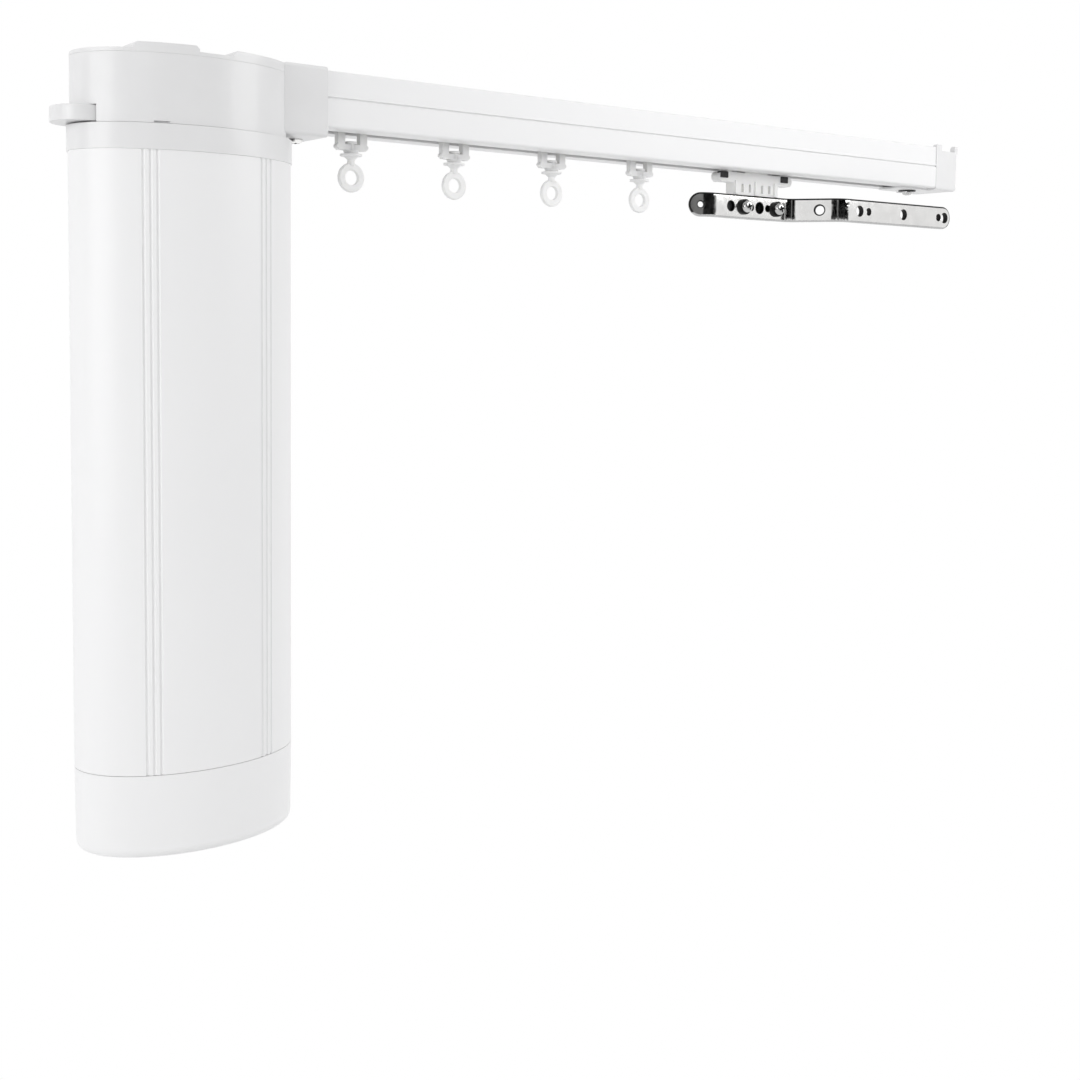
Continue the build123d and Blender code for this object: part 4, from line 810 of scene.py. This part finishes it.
class TRACK_OT_end_cap(TrackOperator, bpy.types.Operator):
    """Round the end cap and make the two clamp screws"""
    bl_idname = "track.end_cap"
    bl_label = "End Cap"

    def execute(self, context):
        down = (0.0, 0.0, -1.0)
        softened_node("end_cap", "cap_shell", self.edges(context).moulded * END_CAP_EDGE, ROOT,
                      FINISHES["head"])
        crossed_screws("end_clamp_screw", "cap_cross_screw", down, ROOT,
                       FINISHES["screw"], washer_height=0.6 * MM)
        crossed_screws("adaptor_screw", "sleeve_cross_screw", down, ROOT,
                       FINISHES["plated"])
        return {"FINISHED"}


class TRACK_OT_gliders(TrackOperator, bpy.types.Operator):
    """Round the gliders and their swivel rings"""
    bl_idname = "track.gliders"
    bl_label = "Gliders"

    def execute(self, context):
        radius = self.edges(context).small
        for number in GLIDERS:
            softened_node(f"glider_{number}_body", f"glider_{number}_yoke", radius, f"glider_{number}",
                          FINISHES["milky"])
            softened_node(f"glider_{number}_eyelet", f"glider_{number}_ring", radius,
                          f"eyelet_{number}", FINISHES["milky"])
        return {"FINISHED"}


class TRACK_OT_carrier(TrackOperator, bpy.types.Operator):
    """Round the carrier and its bumpers, and make the curtain arm and its screws"""
    bl_idname = "track.carrier"
    bl_label = "Carrier"

    def execute(self, context):
        edges = self.edges(context)
        softened_node("carrier_body", "carrier_block", edges.small, "carrier",
                      FINISHES["milky"])
        softened_node("carrier_bumpers", "rubber_bumpers", edges.small, "carrier",
                      FINISHES["rubber"])
        self.make_arm(edges.sheet)
        self.make_shade_sheet()
        crossed_screws("arm_screws", "arm_cross_screws", (0.0, -1.0, 0.0), "carrier",
                       FINISHES["screw"], washer=3.9 * MM, washer_height=1.3 * MM, rise=1.7, width=0.85)
        return {"FINISHED"}

    def make_shade_sheet(self):
        """A black sheet behind the arm: painted shade that shows in the arm's holes."""
        low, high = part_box("carrier_body")
        arm_low, arm_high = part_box("curtain_arm")
        middle = (low.x + high.x) / 2.0
        height = (arm_low.z + arm_high.z) / 2.0
        sheet_length = SHADE_SHEET_LENGTH * (high.x - low.x)
        sheet_height = SHADE_SHEET_HEIGHT * (arm_high.z - arm_low.z)
        bm = bmesh.new()
        bmesh.ops.create_cube(bm, size=1.0)
        for corner in bm.verts:
            corner.co = Vector((middle + corner.co.x * sheet_length,
                                SHADE_SHEET_FRONT + SHADE_SHEET_THICKNESS * (corner.co.y + 0.5),
                                height + corner.co.z * sheet_height))
        soften(bm, SHADE_SHEET_EDGE)
        shade_sheet = flat_faced(mesh_object("arm_shade_sheet", bm))
        # The sheet takes the bumpers' black rubber, as painted shade.
        shade_sheet.data.materials.append(FINISHES["rubber"])
        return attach(shade_sheet, "carrier")

    def stamped_walls(self, bm, spans, middle, half, front_round):
        """Rings of corners down the strap's outline, then down each of its holes, before it is folded."""
        total = spans[-1].start + spans[-1].length
        straights = [span.corner for span in spans if not span.turn]
        walls = [[long_ring(bm, total, half, half - inset, depth, middle)
                  for inset, depth in rim_profile(front_round)]]
        for section, distance, radius, rim in ARM_HOLES:
            centre = straights[section] + distance * MM
            walls.append([round_ring(bm, centre, radius * MM + inset, depth, middle)
                          for inset, depth in rim_profile(rim * MM)])
        return walls

    def close_walls(self, bm, walls, dark_from):
        """Joins the rings into walls, and fills the front and back faces between them."""
        for rings in walls:
            outer = rings is walls[0]
            for step, (before, after) in enumerate(zip(rings, rings[1:])):
                for index in range(len(before)):
                    corners = (before[index - 1], before[index], after[index], after[index - 1])
                    face = bm.faces.new(corners)
                    # Hole walls and the outer front edge above dark_from take the dark steel as painted
                    # shade; the back edge and lowest front edge stay plain steel.
                    plain = outer and (step >= RIM_STEPS or before[index].co.z < dark_from)
                    face.material_index = ARM_FINISHES.index("steel" if plain else "cut")
        for step in (0, -1):
            rims = [bm.edges.get((rings[step][index - 1], rings[step][index]))
                    for rings in walls for index in range(len(rings[step]))]
            bmesh.ops.triangle_fill(bm, edges=rims, use_beauty=True, use_dissolve=False)

    def fold(self, bm, spans):
        """Scores the strap across each bend, lays it along the folded line and joins its flat faces."""
        for span in spans:
            if span.turn:
                for step in range(ARM_BEND_STEPS + 1):
                    cut = span.start + span.length * step / ARM_BEND_STEPS
                    score(bm, (cut, 0.0, 0.0), (1.0, 0.0, 0.0))
        for corner in bm.verts:
            corner.co.x, corner.co.y = on_folded_line(spans, corner.co.x, corner.co.y)
        bmesh.ops.dissolve_limit(bm, angle_limit=math.radians(STEEL_FLAT_ANGLE), verts=bm.verts,
                                 edges=bm.edges, delimit={"MATERIAL"})

    def keep_flats_flat(self, bm, spans):
        """Cuts a narrow flat strip beside each bend, so that its shading doesn't reach into the flats."""
        for span in spans:
            if span.turn:
                first, last = pointing(span.heading), pointing(span.heading + span.turn)
                for distance, outward, ahead in ((span.start, -1.0, first),
                                                 (span.start + span.length, 1.0, last)):
                    place = on_folded_line(spans, distance, 0.0) + ahead * outward * BEND_MARGIN
                    score(bm, place.to_3d(), ahead.to_3d())

    def make_arm(self, front_round):
        """The steel strap, stamped flat and then folded: bright faces, with painted shade in its holes
        and along its front edges.
        """
        low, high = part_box("curtain_arm")
        middle = (low.z + high.z) / 2.0
        half = (high.z - low.z) / 2.0
        corners = [(x * MM, y * MM) for x, y in ARM_CORNERS]
        spans = folded_line(corners, [radius * MM for radius in ARM_BENDS])
        bm = bmesh.new()
        walls = self.stamped_walls(bm, spans, middle, half, front_round)
        self.close_walls(bm, walls, middle + DARK_EDGE_FROM * half)
        self.fold(bm, spans)
        self.keep_flats_flat(bm, spans)
        arm = flat_faced(mesh_object("steel_arm", bm))
        for key in ARM_FINISHES:
            arm.data.materials.append(FINISHES[key])
        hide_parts("curtain_arm")
        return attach(arm, "carrier")


# Studio
def studio_paper():
    """Pale paper for the light; plain white to the camera, in reflections and through clear pieces."""
    finish, tree, shader = new_finish("studio_paper")
    shader.inputs["Base Color"].default_value = PAPER
    shader.inputs["Roughness"].default_value = PAPER_ROUGHNESS
    glow = add_node(tree, "ShaderNodeEmission", {"Color": WHITE, "Strength": 1.0})
    rays = add_node(tree, "ShaderNodeLightPath").outputs
    white = maths(tree, "MAXIMUM", rays["Is Camera Ray"], rays["Is Glossy Ray"])
    white = maths(tree, "MAXIMUM", white, rays["Is Transmission Ray"])
    mix = add_node(tree, "ShaderNodeMixShader", {
        "Fac": white, 1: shader.outputs["BSDF"], 2: glow.outputs["Emission"]})
    output = next(node for node in tree.nodes if node.bl_idname == "ShaderNodeOutputMaterial")
    tree.links.new(mix.outputs["Shader"], output.inputs["Surface"])
    return finish


def facing(tree, direction, aim):
    """How far a direction reaches along another: 1 where it points the same way."""
    return add_node(tree, "ShaderNodeVectorMath", {0: direction, 1: aim},
                    operation="DOT_PRODUCT").outputs["Value"]


def falling(tree, value, low, high):
    """Falls smoothly from 1 to 0 as a value goes from the low one to the high one."""
    return add_node(tree, "ShaderNodeMapRange", {
        "Value": value, "From Min": low, "From Max": high, "To Min": 1.0, "To Max": 0.0},
        interpolation_type="SMOOTHSTEP").outputs["Result"]


def flagged_light(tree):
    """The brightness that polished metal mirrors in each direction: white, with dark flags in it."""
    direction = add_node(tree, "ShaderNodeTexCoord").outputs["Generated"]
    shade = 1.0
    for compass, half_width in STUDIO_FLAGS:
        heading = math.radians(compass)
        aim = Vector((math.sin(heading), math.cos(heading), FLAG_RISE)).normalized()
        outside = math.cos(math.radians(half_width + FLAG_EDGE))
        inside = math.cos(math.radians(half_width - FLAG_EDGE))
        clear = falling(tree, facing(tree, direction, aim), outside, inside)
        shade = maths(tree, "MULTIPLY", shade, clear)
    below = falling(tree, facing(tree, direction, (0.0, 0.0, 1.0)), *FLAG_FOOT)
    return maths(tree, "MAXIMUM", shade, below)


def studio_world(room_light):
    """Even light all round; polished metal sees the bright studio with dark flags standing in it."""
    world = bpy.data.worlds.new("studio")
    world.use_nodes = True
    tree = world.node_tree
    tree.nodes.clear()
    even = add_node(tree, "ShaderNodeBackground", {"Strength": room_light})
    seen = add_node(tree, "ShaderNodeBackground", {"Color": WHITE, "Strength": 1.0})
    mirrored = add_node(tree, "ShaderNodeBackground", {"Strength": flagged_light(tree)})
    rays = add_node(tree, "ShaderNodeLightPath").outputs
    to_metal = add_node(tree, "ShaderNodeMixShader", {
        "Fac": rays["Is Glossy Ray"], 1: even.outputs[0], 2: mirrored.outputs[0]})
    to_camera = add_node(tree, "ShaderNodeMixShader", {
        "Fac": rays["Is Camera Ray"], 1: to_metal.outputs[0], 2: seen.outputs[0]})
    add_node(tree, "ShaderNodeOutputWorld", {"Surface": to_camera.outputs[0]})
    return world


def area_light(name, place, target, size, power):
    """A rectangular lamp that the camera doesn't see, turned to its target."""
    data = bpy.data.lights.new(name, "AREA")
    data.shape = "RECTANGLE"
    data.size, data.size_y = size
    data.energy = power
    lamp = bpy.data.objects.new(name, data)
    lamp.location = place
    lamp.rotation_euler = (Vector(target) - Vector(place)).to_track_quat("-Z", "Y").to_euler()
    lamp.visible_camera = False
    bpy.context.scene.collection.objects.link(lamp)
    return lamp


class TRACK_OT_stage(TrackOperator, bpy.types.Operator):
    """Make the camera, the pale floor and the studio lights"""
    bl_idname = "track.stage"
    bl_label = "Stage"

    def execute(self, context):
        scene = context.scene
        stage = scene.track_stage
        self.make_camera(scene, stage)
        self.make_floor(stage.floor_gap)
        scene.world = studio_world(stage.room_light)
        for lamp in LAMPS:
            area_light(*lamp)
        scene.view_settings.view_transform = "Standard"
        return {"FINISHED"}

    def make_camera(self, scene, stage):
        """The camera, where the photograph was taken from."""
        data = bpy.data.cameras.new("camera")
        data.lens = stage.lens
        data.sensor_width = SENSOR_WIDTH
        data.shift_y = (stage.principal_y - IMAGE_SIDE / 2.0) / IMAGE_SIDE
        data.clip_start = CLIP_START
        data.clip_end = CLIP_END
        camera = bpy.data.objects.new("camera", data)
        yaw, pitch, roll = stage.yaw, stage.pitch, stage.roll
        ahead = Vector((math.sin(yaw) * math.cos(pitch), math.cos(yaw) * math.cos(pitch),
                        -math.sin(pitch)))
        right = Vector((math.cos(yaw), -math.sin(yaw), 0.0))
        up = right.cross(ahead)
        turned_right = right * math.cos(roll) + up * math.sin(roll)
        turned_up = up * math.cos(roll) - right * math.sin(roll)
        turn = Matrix((turned_right, turned_up, -ahead)).transposed()
        camera.matrix_world = Matrix.Translation(Vector(stage.camera_place)) @ turn.to_4x4()
        scene.collection.objects.link(camera)
        scene.camera = camera

    def make_floor(self, gap):
        """A wide floor that curves up behind the object."""
        low = CAD_BOX[0].z - gap
        bend = [math.radians(90.0) * step / FLOOR_BEND_STEPS for step in range(1, FLOOR_BEND_STEPS + 1)]
        profile = [(FLOOR_NEAR, 0.0), (FLOOR_BEND, 0.0)]
        profile += [(FLOOR_BEND + FLOOR_BEND_RADIUS * math.sin(turn),
                     FLOOR_BEND_RADIUS - FLOOR_BEND_RADIUS * math.cos(turn)) for turn in bend]
        profile += [(FLOOR_BEND + FLOOR_BEND_RADIUS, WALL_TOP)]
        bm = bmesh.new()
        rows = [[bm.verts.new((x, y, low + z)) for y, z in profile]
                for x in (-FLOOR_HALF_WIDTH, FLOOR_HALF_WIDTH)]
        for index in range(len(profile) - 1):
            bm.faces.new((rows[0][index], rows[0][index + 1], rows[1][index + 1], rows[1][index]))
        floor = mesh_object("studio_floor", bm)
        floor.data.materials.append(studio_paper())


class TRACK_PT_panel(bpy.types.Panel):
    """The pieces, their sizes and their colours"""
    bl_idname = "TRACK_PT_panel"
    bl_label = "Curtain Track"
    bl_space_type = "VIEW_3D"
    bl_region_type = "UI"
    bl_category = "Curtain Track"

    def draw(self, context):
        layout = self.layout
        for operator in OPERATORS:
            layout.operator(operator.bl_idname)
        scene = context.scene
        for label, group in (("Colours", scene.track_finish), ("Edges", scene.track_edges),
                             ("Stage", scene.track_stage)):
            box = layout.box()
            box.label(text=label)
            for name in group.__annotations__:
                box.prop(group, name)


GROUPS = (
    ("track_finish", TRACK_PG_finish),
    ("track_edges", TRACK_PG_edges),
    ("track_stage", TRACK_PG_stage),
)
OPERATORS = (
    TRACK_OT_finishes,
    TRACK_OT_rail,
    TRACK_OT_head,
    TRACK_OT_body,
    TRACK_OT_end_cap,
    TRACK_OT_gliders,
    TRACK_OT_carrier,
    TRACK_OT_stage,
)


def register():
    for name, group in GROUPS:
        bpy.utils.register_class(group)
        setattr(bpy.types.Scene, name, PointerProperty(type=group))
    for operator in OPERATORS:
        bpy.utils.register_class(operator)
    bpy.utils.register_class(TRACK_PT_panel)


def unregister():
    bpy.utils.unregister_class(TRACK_PT_panel)
    for operator in reversed(OPERATORS):
        bpy.utils.unregister_class(operator)
    for name, group in reversed(GROUPS):
        delattr(bpy.types.Scene, name)
        bpy.utils.unregister_class(group)


def main():
    register()
    for operator in OPERATORS:
        group, action = operator.bl_idname.split(".")
        getattr(getattr(bpy.ops, group), action)()


if __name__ == "__main__":
    main()
